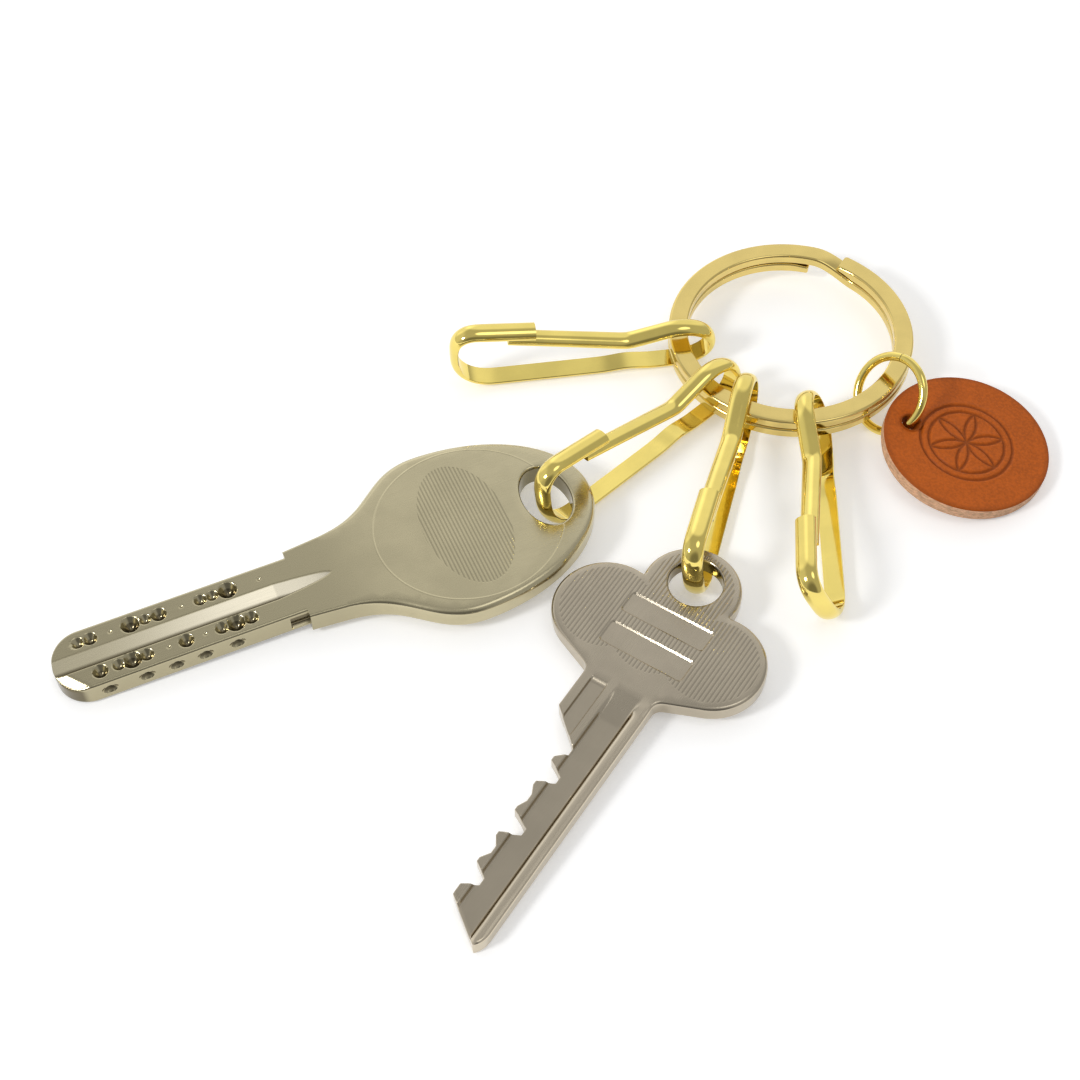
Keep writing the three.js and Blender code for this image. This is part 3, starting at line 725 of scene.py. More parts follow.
def hook_line(sizes):
    """The whole bent line from the springing tip to the cap's end, and its split point's number.

    It joins a straight arm, a round of an ellipse for the eye, a lower arm with one kink, a quarter
    circle and a tighter corner.
    """
    marks = hook_marks(sizes)
    half, bend, corner = sizes.eye_height / 2, sizes.far_opening / 2, sizes.far_corner
    eye = ellipse(0.0, half, sizes.eye_reach, half, sizes.eye_top, 3 * QUARTER, 60)
    neck, run = sizes.neck_reach, 0.75 * sizes.eye_reach
    kink = [[neck - run, 0.0], [neck, sizes.neck_rise], [neck + run, 0.0]]
    end = ellipse(sizes.reach - bend, bend, bend, bend, -QUARTER, 0.0, 40)
    middle = (sizes.reach - corner, sizes.far_opening - corner)
    turn = ellipse(*middle, corner, corner, 0.0, QUARTER + sizes.cap_slope, 40)
    arm = [marks["tip"], marks["neck"]]
    line = np.concatenate([arm, eye, kink, end, turn, [marks["cap_end"]]])
    line = even_line(line, HOOK_STEP, HOOK_EASING)
    away = np.linalg.norm(line - eye_point(sizes, sizes.split), axis=1)
    return line, int(np.argmin(away))


def strip_section(sizes, half, skirt, hollow):
    """Sections of the strip, one for each half width, skirt and hollow.

    The outside is an arch over straight sides. The inside is flat, or a hollow between two skirts.
    """
    wall, ease, arch = 0.22 * MM, 0.07 * MM, 0.96
    half, skirt, hollow = (each[:, None] for each in (half, skirt, hollow))
    inner = half - wall
    dip = np.array([-0.97, -0.7, 0.0, 0.7, 0.97])
    at = np.linspace(0.0, math.pi, 17)
    over = half * np.copysign(np.abs(np.cos(at)) ** arch, np.cos(at))
    rise = sizes.side + (sizes.thickness - sizes.side) * np.sin(at) ** arch + 0.0 * half
    sunk = hollow * (1.0 - np.abs(dip) ** 2.4)
    low, foot = -skirt, ease - skirt
    across = [-half + ease, -inner, dip * inner, inner, half - ease, half, over, -half]
    height = [low, low, sunk, low, low, foot, rise, foot]
    return np.stack([np.concatenate(across, 1), np.concatenate(height, 1)], -1)


def hook_strip(sizes, line, place):
    """The strip along the whole line: flat face on the line, arched side turned outwards."""
    start, outward, sideways, upward = place
    gone = travelled(line)
    left = gone[-1] - gone
    cap = 1.0 - smoothstep(left, *(sizes.cap_length * part for part in CAP_WIDENS))
    arm = 1.0 - smoothstep(gone, sizes.gate_lap, sizes.reach * ARM_NARROW)
    wider = (sizes.cap_width - sizes.width) * cap + (sizes.gate_width - sizes.width) * arm
    half = (sizes.width + wider) / 2
    sections = strip_section(sizes, half, sizes.cap_skirt * cap, sizes.cap_hollow * cap)
    along = np.gradient(line, axis=0)
    along /= np.linalg.norm(along, axis=1)[:, None]
    out = along[:, :1] * -upward + along[:, 1:] * outward
    centres = start + line[:, :1] * outward + line[:, 1:] * upward
    return sections, centres, np.broadcast_to(sideways, centres.shape), out


class KEYCHAIN_OT_spring_hooks(bpy.types.Operator):
    """Bends the four spring hooks, each from one strip whose arm is a piece of its own."""

    bl_idname = "keychain.spring_hooks"
    bl_label = "Spring Hooks"

    def execute(self, context):
        settings = context.scene.keychain
        gold = plated("gold_plate", settings.finish.gold, 0.07, 0.13)
        line, split = hook_line(settings.hook)
        for number in range(1, HOOK_COUNT + 1):
            self.make_hook(settings.hook, number, line, split, gold)
        return {"FINISHED"}

    def make_hook(self, sizes, number, line, split, gold):
        """One hook: eye with cap, and arm, which share the section at the split."""
        place = hook_place(sizes, number)
        strip = hook_strip(sizes, line, place)
        body, gate = f"hook_{number}", f"hook_{number}_gate"
        rest, spring = [part[split:] for part in strip], [part[: split + 1] for part in strip]
        fixed = closed_piece(f"hook_{number}_eye_and_cap", *tube(*rest), [gold])
        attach(fixed, body)
        arm = closed_piece(f"hook_{number}_spring_arm", *tube(*spring), [gold])
        start, outward, _, upward = place
        marks = hook_marks(sizes)
        past_neck = marks["neck"] + 0.1 * (marks["tip"] - marks["neck"])
        ends = [start + x * outward + z * upward for x, z in (marks["eye_top"], past_neck)]
        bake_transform(arm)
        for piece, solid in ((fixed, body), (arm, gate)):
            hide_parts(solid)


class KEYCHAIN_OT_jump_ring(bpy.types.Operator):
    """Bends the jump ring from round wire."""

    bl_idname = "keychain.jump_ring"
    bl_label = "Jump Ring"

    def execute(self, context):
        settings = context.scene.keychain
        sizes = settings.jump
        radius = (sizes.diameter - sizes.wire) / 2
        gap = sizes.joint / radius / 2
        outward = outward_at(sizes.joint_place + np.linspace(gap, TURN - gap, 200))
        profile = oval(0.0, sizes.wire / 2, sizes.wire / 2, 28)
        points, faces = tube(profile, radius * outward, outward, UP)
        points = turned(points, sizes.tilt, sizes.turn, middle_of("jump_ring"))
        gold = plated("gold_wire", settings.finish.gold, 0.07, 0.13)
        ring = closed_piece("bent_jump_ring", points, faces, [gold])
        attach(ring, "jump_ring")
        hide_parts("jump_ring")
        return {"FINISHED"}


def rosette_distance(sizes, x, y):
    """Distance to the nearest tooled line: two plain rings and the arcs of a six-petal flower."""
    radius = sizes.rosette
    away = np.hypot(x, y)
    nearest = np.minimum(np.abs(away - radius), np.abs(away - OUTER_RING * radius))
    for at in PETALS:
        petal = np.hypot(x - radius * math.cos(at), y - radius * math.sin(at)) - radius
        nearest = np.minimum(nearest, np.where(away < radius, np.abs(petal), 1.0))
    return nearest


def tag_place(sizes):
    """Middle of the tag's hole, the tag's fall to the table and its heading."""
    hole = np.array(JOINTS["leather_tag_swing"]["pos_m"])
    reach = sizes.diameter - sizes.hole_inset
    return hole, math.asin((hole[2] - sizes.thickness / 2) / reach), sizes.heading


def hole_slant(sizes):
    """Sideways shift of the soft hole for each step up through the leather, along the wire."""
    _, fall, heading = tag_place(sizes)
    basis = turned(np.eye(3), fall, heading, np.zeros(3))
    along = basis @ np.array(JOINTS["leather_tag_swing"]["axis"])
    return sizes.slant * along[:2] / along[2]


def tag_surface(sizes):
    """Closed grid between the hole's circle and the tag's, and the rows where its faces change.

    A row lies at some share of the way from one circle to the other, drawn in from both and at some
    height.
    """
    edge, half = sizes.edge, sizes.thickness / 2
    quarter = np.linspace(0.0, QUARTER, TAG_ROUND)
    draw, fall = edge * (1 - np.sin(quarter)), edge * (1 - np.cos(quarter))
    top = np.linspace(0.0, 1.0, TAG_TOP + 2)[1:-1]
    wall = np.linspace(half - edge, 0.5 * edge - half, TAG_WALL + 2)[1:-1]
    hole_wall = np.linspace(sizes.ease - half, half - edge, TAG_WALL + 1)[:-1]
    under = np.linspace(1.0, 0.0, TAG_UNDER)
    side = TAG_WALL + TAG_ROUND
    part_way = np.concatenate([np.zeros(side), top, np.ones(side), under])
    inset = [0 * wall, draw[::-1], edge + 0 * top, draw, 0 * wall, 0.5 * edge + 0 * under]
    inset = np.concatenate(inset)
    height = [hole_wall, half - fall[::-1], half + 0 * top, half - fall, wall, 0 * under - half]
    height = np.concatenate(height)
    ring = oval(0.0, 1.0, 1.0, TAG_COLUMNS)
    eased = np.where(height > -half, inset, sizes.ease)
    near = (sizes.hole / 2 + eased)[:, None, None] * ring
    near = near + (height[:, None] * hole_slant(sizes))[:, None]
    far = (sizes.diameter / 2 - inset)[:, None, None] * ring
    far = far + [sizes.diameter / 2 - sizes.hole_inset, 0.0]
    plan = near + part_way[:, None, None] * (far - near)
    level = np.broadcast_to(height[:, None, None], plan.shape[:2] + (1,))
    return np.concatenate([plan, level], -1), (side, side + TAG_TOP, 2 * side + TAG_TOP)


def press_tag(sizes, points, rows):
    """Presses the tooled lines into the grain side, wears the hole's rim and swells the rest."""
    face = points[rows[0] : rows[1]]
    x, y = face[..., 0] - (sizes.diameter / 2 - sizes.hole_inset), face[..., 1]
    distance = rosette_distance(sizes, x, y)
    line = 1.0 - smoothstep(distance, 0.15 * sizes.line, 0.9 * sizes.line)
    lip = np.exp(-(((distance - 1.5 * sizes.line) / (0.6 * sizes.line)) ** 2))
    swell = TAG_SWELL * np.sin(310.0 * x + 1.0) * np.cos(270.0 * y)
    swell = swell * (1.0 - smoothstep(np.hypot(x, y), *SWELL_EDGE))
    shift = sizes.thickness / 2 * hole_slant(sizes)
    hole = np.hypot(face[..., 0] - shift[0], y - shift[1])
    wear_and_highlight = HOLE_WEAR * (1.0 - smoothstep(hole, sizes.hole / 2, sizes.hole))
    face[..., 2] += 0.15 * sizes.press * lip + swell - sizes.press * line - wear_and_highlight
    return points


def grain_leather(sizes, colour):
    """Smooth vegetable-tanned grain: clouds, pores, dark tooled lines and a burnished edge."""
    material, main, place = new_finish("tanned_grain", 0.0, 0.5)
    local = own_frame(place, *tag_place(sizes))
    flat = level_place(*split_up(local)[:2])
    middle = (sizes.diameter / 2 - sizes.hole_inset) / MM
    radius, width, hole = sizes.rosette / MM, sizes.line / MM, sizes.hole / 2 / MM
    away = vector_maths("DISTANCE", flat, (middle, 0.0, 0.0))
    nearest = maths("MINIMUM", abs(away - radius), abs(away - OUTER_RING * radius))
    outside = maths("GREATER_THAN", away, radius) * 9.0
    for at in PETALS:
        centre = (middle + radius * math.cos(at), radius * math.sin(at), 0.0)
        petal = abs(vector_maths("DISTANCE", flat, centre) - radius)
        nearest = maths("MINIMUM", nearest, petal + outside)
    wobble = (noise(local, 1.6) - 0.5) * 0.16
    pressed = ranged(nearest + wobble, 0.1 * width, 0.95 * width, 1.0, 0.0)
    cells = {"Vector": local, "Scale": 4.2, "Randomness": 1.0}
    pores = worked("ShaderNodeTexVoronoi", cells, "Distance")
    fibre = noise(local, 7.0, 6.0, 0.7)
    fleck = ranged(fibre * pores, 0.02, 0.16, 0.35, 0.0)
    speckle = ranged(noise(local, 3.0, 3.0, 0.65), 0.36, 0.64)
    shift = sizes.thickness / 2 / MM * hole_slant(sizes)
    from_hole = vector_maths("DISTANCE", flat, (*shift, 0.0))
    burnish = ranged(from_hole, hole + 0.1, hole + 0.5, 0.85, 0.0)
    burnish = maths("MAXIMUM", ranged(away, 9.2, 9.95, 0.0, 0.45), burnish)
    clouds = ranged(noise(local, 0.35, 5.0, 0.6), 0.25, 0.75)
    tone = mixed(clouds, rgba(colour, 0.9), rgba(colour, 1.1))
    layers = [(fleck, 0.6), (speckle * 0.5, 1.45), (pressed * 0.62, 0.34), (burnish, 0.5)]
    feed(main, {
        "Base Color": shaded(tone, colour, *layers),
        "Roughness": ranged(fibre, 0.3, 0.75, 0.42, 0.62),
        "Specular IOR Level": 0.2,
    })
    bump(main, pores * 0.6 + fibre * 0.8 - pressed * 1.2, 0.35, 0.06 * MM)
    return material


def raw_leather(name, colour, deep):
    """Cut leather: pale fibres packed in fine layers, with dark specks between them."""
    material, main, place = new_finish(name, 0.0, 0.85)
    fine = stretched(place, 1.0, 1.0, 2.4)
    fibre, layers = noise(fine, 3600.0, 6.0, 0.75), noise(fine, 1300.0, 4.0, 0.6)
    tone = clouded(layers, colour, 0.72, 1.12)
    tone = shaded(tone, deep, (ranged(fibre, 0.32, 0.48, 0.7, 0.0), 0.9))
    feed(main, {"Base Color": tone, "Specular IOR Level": 0.15})
    bump(main, fibre + layers, 0.9, 0.16 * MM)
    return material


class KEYCHAIN_OT_leather_tag(bpy.types.Operator):
    """Cuts the leather tag and tools its grain side with a plain rosette."""

    bl_idname = "keychain.leather_tag"
    bl_label = "Leather Tag"

    def execute(self, context):
        settings = context.scene.keychain
        sizes, finish = settings.tag, settings.finish
        points, rows = tag_surface(sizes)
        points = press_tag(sizes, points, rows)
        count, columns = points.shape[:2]
        faces = grid_faces(count, columns, loop_rows=True, loop_columns=True)
        row = np.repeat(np.arange(count), columns)
        slots = np.where(row < rows[1] + TAG_ROUND - 2, 0, np.where(row < rows[2], 1, 2))
        hole, fall, heading = tag_place(sizes)
        points = turned(points.reshape(-1, 3), fall, heading, hole)
        materials = [
            grain_leather(sizes, finish.leather),
            raw_leather("raw_edge", finish.raw_edge, finish.leather),
            raw_leather("flesh_side", [0.9 * part for part in finish.raw_edge], finish.leather),
        ]
        tag = closed_piece("tooled_leather_tag", points, faces, materials, slots, SHARP_LEATHER)
        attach(tag, "leather_tag")
        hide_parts("leather_tag")
        return {"FINISHED"}


def key_place(hook, key, number, hole_half):
    """Place of a key on its hook: middle of its hole on its lower face, rise and heading."""
    swing = np.array(JOINTS[f"hook_{number}_swing"]["pos_m"])
    start, outward, sideways, _ = hook_place(hook, number)
    lean = math.asin(sideways[2])
    slack = (start - swing) @ outward
    hole = key.length - key.hole_inset
    rise = math.asin((arm_top(hook, lean) + HOOK_PLAY) / (hole + hole_half))
    origin = swing + (hook.reach + slack - key.back) * outward + key.side * np.cross(UP, outward)
    origin[2] = hole * math.sin(rise)
    return origin, -rise, key.heading


def edge_profile(wall_points):
    """A rim from its upper face to its lower one: two quarter circles with a wall between them.

    Inset and offset are in shares of the rounding, and level in shares of the thickness.
    """
    quarter = np.linspace(0.0, QUARTER, ROUND_POINTS)
    inset, fall = 1 - np.sin(quarter), 1 - np.cos(quarter)
    down = np.linspace(0.0, 1.0, wall_points + 2)[1:-1]
    ones = np.ones(ROUND_POINTS)
    return (
        np.concatenate([inset, 0 * down, inset[::-1]]),
        np.concatenate([ones, 1 - down, 0 * ones]),
        np.concatenate([-fall, 2 * down - 1, fall[::-1]]),
    )


def blade_surface(x, sides, roundings, thickness, depth, columns, wall_points, wall_depth=None):
    """Rings round a blade, one for each place along it.

    A ring runs over the upper face, down one wall, back under the lower face and up the other wall.
    The faces' columns keep to given places across the key and end at the rims. Depth functions of
    the place sink both faces and draw in the walls.
    """
    inset, level, offset = edge_profile(wall_points)
    low, high = sides
    along = x[:, None]
    rims, inner = [], []
    for y, rounding, side in ((high, roundings[1], 1.0), (low, roundings[0], -1.0)):
        narrow = np.minimum(rounding, 0.49 * (high - low))[:, None]
        face = y[:, None] - side * narrow
        top, base = thickness - depth(along, face, False), depth(along, face, True)
        z = base + (top - base) * level + narrow * offset
        drawn = wall_depth(along, z, side) if wall_depth else 0.0
        rims.append((y[:, None] - side * (inset * narrow + drawn), z))
        inner.append(face)
    over = np.clip(columns[0], inner[1], inner[0])
    below = np.clip(columns[1][..., ::-1], inner[1], inner[0])
    over_z, below_z = thickness - depth(along, over, False), depth(along, below, True)
    rings_y = np.concatenate([over, rims[0][0], below, rims[1][0][:, ::-1]], 1)
    rings_z = np.concatenate([over_z, rims[0][1], below_z, rims[1][1][:, ::-1]], 1)
    return np.stack([np.broadcast_to(along, rings_y.shape), rings_y, rings_z], -1)


def blade_columns(low, high, step, walls):
    """Places of the columns across a face: evenly apart, and closer at the walls of its grooves."""
    close = [wall + WALL_COLUMNS for wall in walls]
    return np.unique(np.concatenate([np.arange(low, high, step)] + close).round(7))


def seam_lines(rings, columns, wall_points):
    """The last ring's points on the upper and lower face, in the order a bow's faces meet them."""
    over, below = (column.shape[-1] for column in columns)
    second = over + wall_points + 2 * ROUND_POINTS
    return rings[-1, :over, :2][::-1], rings[-1, second : second + below, :2]


def within(loop, points):
    """Which points lie inside a loop, told by how often a line from each of them crosses it."""
    ahead = np.roll(loop, -1, 0)
    x, y = points[:, :1], points[:, 1:]
    spans = (loop[:, 1] > y) != (ahead[:, 1] > y)
    rise = np.where(ahead[:, 1] == loop[:, 1], 1.0, ahead[:, 1] - loop[:, 1])
    meet = loop[:, 0] + (y - loop[:, 1]) * ((ahead - loop)[:, 0] / rise)
    return np.count_nonzero(spans & (x < meet), axis=1) % 2 == 1


def between(loops, points):
    """Which points lie inside the first loop and outside the others."""
    kept = within(loops[0], points)
    for loop in loops[1:]:
        kept &= ~within(loop, points)
    return kept


def clearance(loops, points):
    """Distance from each point to the nearest side of some loops."""
    start = np.concatenate(loops)
    side = np.concatenate([np.roll(loop, -1, 0) - loop for loop in loops])
    away = points[:, None] - start
    part_way = (away * side).sum(-1) / np.maximum((side**2).sum(-1), 1e-20)
    near = np.clip(part_way, 0.0, 1.0)[..., None] * side
    return np.linalg.norm(away - near, axis=-1).min(axis=1)


def filled(loops, height):
    """Triangles of a level face between an outer loop and the loops inside it, as points and faces.

    The points of an even grid that are clear of the loops are added, so that no triangle reaches
    across.
    """
    edges = []
    first = 0
    for loop in loops:
        number = np.arange(len(loop))
        edges += np.stack([first + number, first + (number + 1) % len(loop)], -1).tolist()
        first += len(loop)
    rim = np.concatenate(loops)
    spans = zip(rim.min(0), rim.max(0))
    grid = np.meshgrid(*(np.arange(low, high, FACE_GRID) for low, high in spans))
    grid = np.stack(grid, -1).reshape(-1, 2)
    grid = grid[(clearance(loops, grid) > GRID_CLEAR * FACE_GRID) & between(loops, grid)]
    scaled = [tuple(point) for point in (np.concatenate([rim, grid]) / MM).tolist()]
    plan, _, faces, *_ = geometry.delaunay_2d_cdt(scaled, edges, [], 1, 1e-5)
    plan, faces = np.array([tuple(point) for point in plan]) * MM, np.array(faces)
    points = np.column_stack([plan, np.full(len(plan), height)])
    return points, faces[between(loops, plan[faces].mean(axis=1))].tolist()


def outline_normals(outline, closed):
    """Outward directions along an outline that runs anticlockwise."""
    if closed:
        along = np.roll(outline, -1, 0) - np.roll(outline, 1, 0)
    else:
        along = np.gradient(outline, axis=0)
    along /= np.linalg.norm(along, axis=1)[:, None]
    return np.stack([along[:, 1], -along[:, 0]], -1)


def plate_surface(outline, roundings, hole, hole_rounding, thickness, wall_points, seam, panels=()):
    """A bow: rim, hole, level faces that meet the blade along a seam, and panels in the upper."""
    inset, level, offset = edge_profile(wall_points)
    normals = outline_normals(outline, False)
    normals[0], normals[-1] = (0.0, -1.0), (0.0, 1.0)
    inner = np.full(len(hole), hole_rounding)
    parts, uppers, lowers = [], [], []
    for path, inwards, rounding, closed in (
        (outline, -normals, roundings, False),
        (hole, outline_normals(hole, True), inner, True),
    ):
        plan = path[:, None] + (rounding[:, None] * inset)[..., None] * inwards[:, None]
        z = thickness * level + rounding[:, None] * offset
        points = np.concatenate([plan, z[..., None]], -1)
        parts.append((points.reshape(-1, 3), grid_faces(*z.shape, loop_rows=closed)))
        uppers.append(plan[:, 0])
        lowers.append(plan[:, -1])
    uppers[0] = np.concatenate([uppers[0], seam[0]])
    lowers[0] = np.concatenate([lowers[0], seam[1]])
    for foot, top, lift in panels:
        uppers.append(foot)
        z = np.broadcast_to([thickness, thickness + lift], (len(foot), 2))
        points = np.concatenate([np.stack([foot, top], 1), z[..., None]], -1)
        parts.append((points.reshape(-1, 3), grid_faces(len(foot), 2, loop_rows=True)))
        parts.append(filled([top], thickness + lift))
    return parts + [filled(uppers, thickness), filled(lowers, 0.0)]


def key_piece(name, rings, bow_parts, material, place, hole, sharp):
    """A key from the rings of its blade and the surfaces of its bow, moved to its place."""
    parts = [(rings.reshape(-1, 3), grid_faces(*rings.shape[:2], loop_columns=True))] + bow_parts
    faces = []
    first = 0
    for part, part_faces in parts:
        faces += [[first + corner for corner in face] for face in part_faces]
        first += len(part)
    origin, about_y, about_z = place
    points = np.concatenate([part for part, _ in parts]) - [hole, 0.0, 0.0]
    points = turned(points, about_y, about_z, origin)
    return closed_piece(name, points, faces, [material], sharp=sharp)


class KeyPlate:
    """Satin plate in a key's own frame: brushed along the key, cloudy, with level faces in its
    recesses darker and rougher.
    """

    def __init__(self, name, colour, place, thickness, dulled):
        self.colour = colour
        self.material, self.main, seen = new_finish(name, 1.0, 0.25)
        local = own_frame(seen, *place)
        self.x, self.y, self.z = split_up(local)
        self.streaks = noise(stretched(local, 0.3, 9.0, 9.0), 1.0, 4.0, 0.6)
        self.tone = clouded(noise(local, 0.22, 4.0, 0.55), colour, 0.95, 1.05)
        self.shade(ranged(self.streaks, 0.35, 0.65, 0.0, 0.14), 0.82)
        upright = split_up(coordinates(seen.tree, "Normal"))[2]
        flat = ranged(upright, 0.6, 0.95)
        top = thickness / MM
        # Level faces sunk below the upper face are darker and rougher, as far as dulled says.
        dull = ranged(self.z, top - 0.4, top - 0.15, 1.0, 0.0) * flat
        self.shade(dull * dulled, 0.6)
        gloss = ranged(self.streaks, 0.3, 0.7, 0.09, 0.15) + flat * 0.13 + dull * (0.35 * dulled)
        feed(self.main, {"Roughness": gloss})
        self.face = ranged(self.z, top - 0.05, top - 0.02)
        self.face *= ranged(self.z, top + 0.02, top + 0.05, 1.0, 0.0)

    def shade(self, amount, shade):
        """Lays a shade of the plate's own colour over it, where the amount says."""
        self.tone = shaded(self.tone, self.colour, (amount, shade))

    def oval(self, centre, half_x, half_y):
        """1 on an oval at some place along the key, less inside it and more outside it."""
        flat = level_place((self.x - centre) / (half_x / MM), self.y / (half_y / MM))
        return vector_maths("DISTANCE", flat, (0.0, 0.0, 0.0))

    def shade_hole_wall(self, half_x, half_y):
        """Painted shade: darkens the wall of the key's hole."""
        self.shade(ranged(self.oval(0.0, half_x, half_y), 1.0, 1.05, 0.75, 0.0), 0.35)

    def engrave(self, cut, ridge=None):
        """Works a pattern into the upper face: dark cut lines, and a line that stands up with a
        painted highlight.
        """
        cut = cut * self.face
        self.shade(cut * 0.4, 0.35)
        height = self.streaks * 0.03 - cut
        if ridge is not None:
            ridge = ridge * self.face
            # Painted highlight: the raised line is paler.
            self.shade(ridge * 0.6, 1.3)
            height = height + ridge
        feed(self.main, {"Base Color": self.tone})
        bump(self.main, height, 0.4, ENGRAVED)


def fine_lines(across, pitch, share_cut):
    """Which part of a face fine parallel lines take, at some pitch across a coordinate."""
    edge = math.cos(math.pi * share_cut)
    return ranged(maths("SINE", across * (TURN / pitch)), edge - 0.45, edge + 0.45)


def dimple_outline(sizes):
    """The bow's outline from one side of the neck to the other: flare, half ellipse and flare."""
    start = sizes.blade + sizes.neck
    centre = sizes.length - sizes.bow_end
    half, bow = sizes.neck_width / 2, sizes.bow_width / 2
    flare = (centre - start) / 2
    t = np.linspace(0.0, 1.0, 70)[:, None]
    knots = np.array([
        [start, -half],
        [start + flare, -half - sizes.neck_flare * flare],
        [centre - sizes.bow_flare * flare, -bow],
        [centre, -bow],
    ])
    weights = [(1 - t) ** 3, 3 * t * (1 - t) ** 2, 3 * t**2 * (1 - t), t**3]
    near = sum(weight * knot for weight, knot in zip(weights, knots))
    end = ellipse(centre, 0.0, sizes.bow_end, bow, -QUARTER, QUARTER, 220)[1:-1]
    return np.concatenate([near, end, near[::-1] * [1.0, -1.0]])


def dimple_edges(sizes, x):
    """Lower and upper edge of the blade and neck: rounded tip, straight blade, shoulder, neck."""
    ahead = np.clip(sizes.tip - x, 0.0, None) / sizes.tip
    blade = sizes.blade_width / 2 * np.sqrt(np.clip(1.0 - ahead**2, 0.0, 1.0))
    neck = np.clip((x - sizes.blade) / sizes.neck, 0.0, 1.0)
    wide = (sizes.shoulder + (sizes.neck_width - sizes.shoulder) * neck) / 2
    shoulder = np.clip((x - sizes.blade) / STEP_RUN, 0.0, 1.0)
    upper = blade * (1.0 - shoulder) + wide * shoulder
    return -upper, upper


def groove_ahead(sizes, x):
    """Share of the groove's full size that is left at each place along the key."""
    return np.sqrt(np.clip((sizes.groove - x) / sizes.groove_point, 1e-6, 1.0))


def groove_columns(sizes, x, half, step):
    """Columns across a face of the blade, which draw together with the groove where it runs out."""
    rims = np.array([-half, -sizes.groove_steep, -sizes.groove_line, sizes.groove_wide, half])
    spans = zip(rims, rims[1:])
    columns = [np.linspace(a, b, 1 + math.ceil((b - a) / step)) for a, b in spans]
    columns = np.unique(np.concatenate(columns).round(8))
    left = np.maximum(groove_ahead(sizes, x), 0.15)[:, None]
    outer = np.where(columns > 0, half, -half)
    edge = np.where(columns > 0, sizes.groove_wide, -sizes.groove_steep)
    beside = outer - (outer - columns) * (outer - edge * left) / (outer - edge)
    return np.where(np.abs(columns) > np.abs(edge), beside, columns * left)


def dimple_depth(sizes, x, y, lower):
    """Depth of a face below the level one: V groove that runs out, rows of pits and a tip facet."""
    turn = -y if lower else y
    ahead = groove_ahead(sizes, x)
    sides = (sizes.groove_wide, -sizes.groove_line, -sizes.groove_steep)
    wide, line, steep = (side * ahead for side in sides)
    slant = np.minimum((wide - turn) / (wide - line), (turn - steep) / (line - steep))
    depth = sizes.groove_depth * ahead * np.clip(slant, 0.0, 1.0)
    for row, pits in ((sizes.pit_row, PITS_WIDE_SIDE), (-sizes.pit_row, PITS_STEEP_SIDE)):
        for along, width in pits:
            away = np.hypot(x - along * MM, turn - row) / (width * MM / 2)
            pit = sizes.pit_depth * width * MM * np.clip(1.0 - away**PIT_BOWL, 0.0, 1.0)
            depth = np.maximum(depth, pit)
    inside = (x - FACET_EDGE[0]) * FACET_ACROSS[0] + (turn - FACET_EDGE[1]) * FACET_ACROSS[1]
    facet = math.tan(sizes.facet) * np.clip(-inside, 0.0, None)
    return np.maximum(depth, facet * (1.0 - smoothstep(x, *FACET_END)))


def dimple_wall_depth(sizes, x, z, side):
    """How far the oval pits and the shallow notch in the blade's narrow wall draw it in."""
    height = z - sizes.thickness / 2
    half_length, half_height, deep = (size * MM for size in WALL_PIT)
    depth = np.zeros(np.broadcast(x, z).shape)
    for along in PITS_LOW_WALL if side < 0 else PITS_HIGH_WALL:
        away = np.hypot((x - along * MM) / half_length, height / half_height)
        depth = np.maximum(depth, deep * np.clip(1.0 - away**PIT_BOWL, 0.0, 1.0))
    if side > 0:
        return depth
    start = sizes.blade - sizes.notch
    notch = smoothstep(x, start, start + NOTCH_EASE)
    notch = notch * (1.0 - np.clip((x - sizes.blade) / STEP_RUN, 0.0, 1.0))
    notch = notch * (1.0 - smoothstep(np.abs(height), *NOTCH_HALF))
    return np.maximum(depth, sizes.notch_depth * notch)


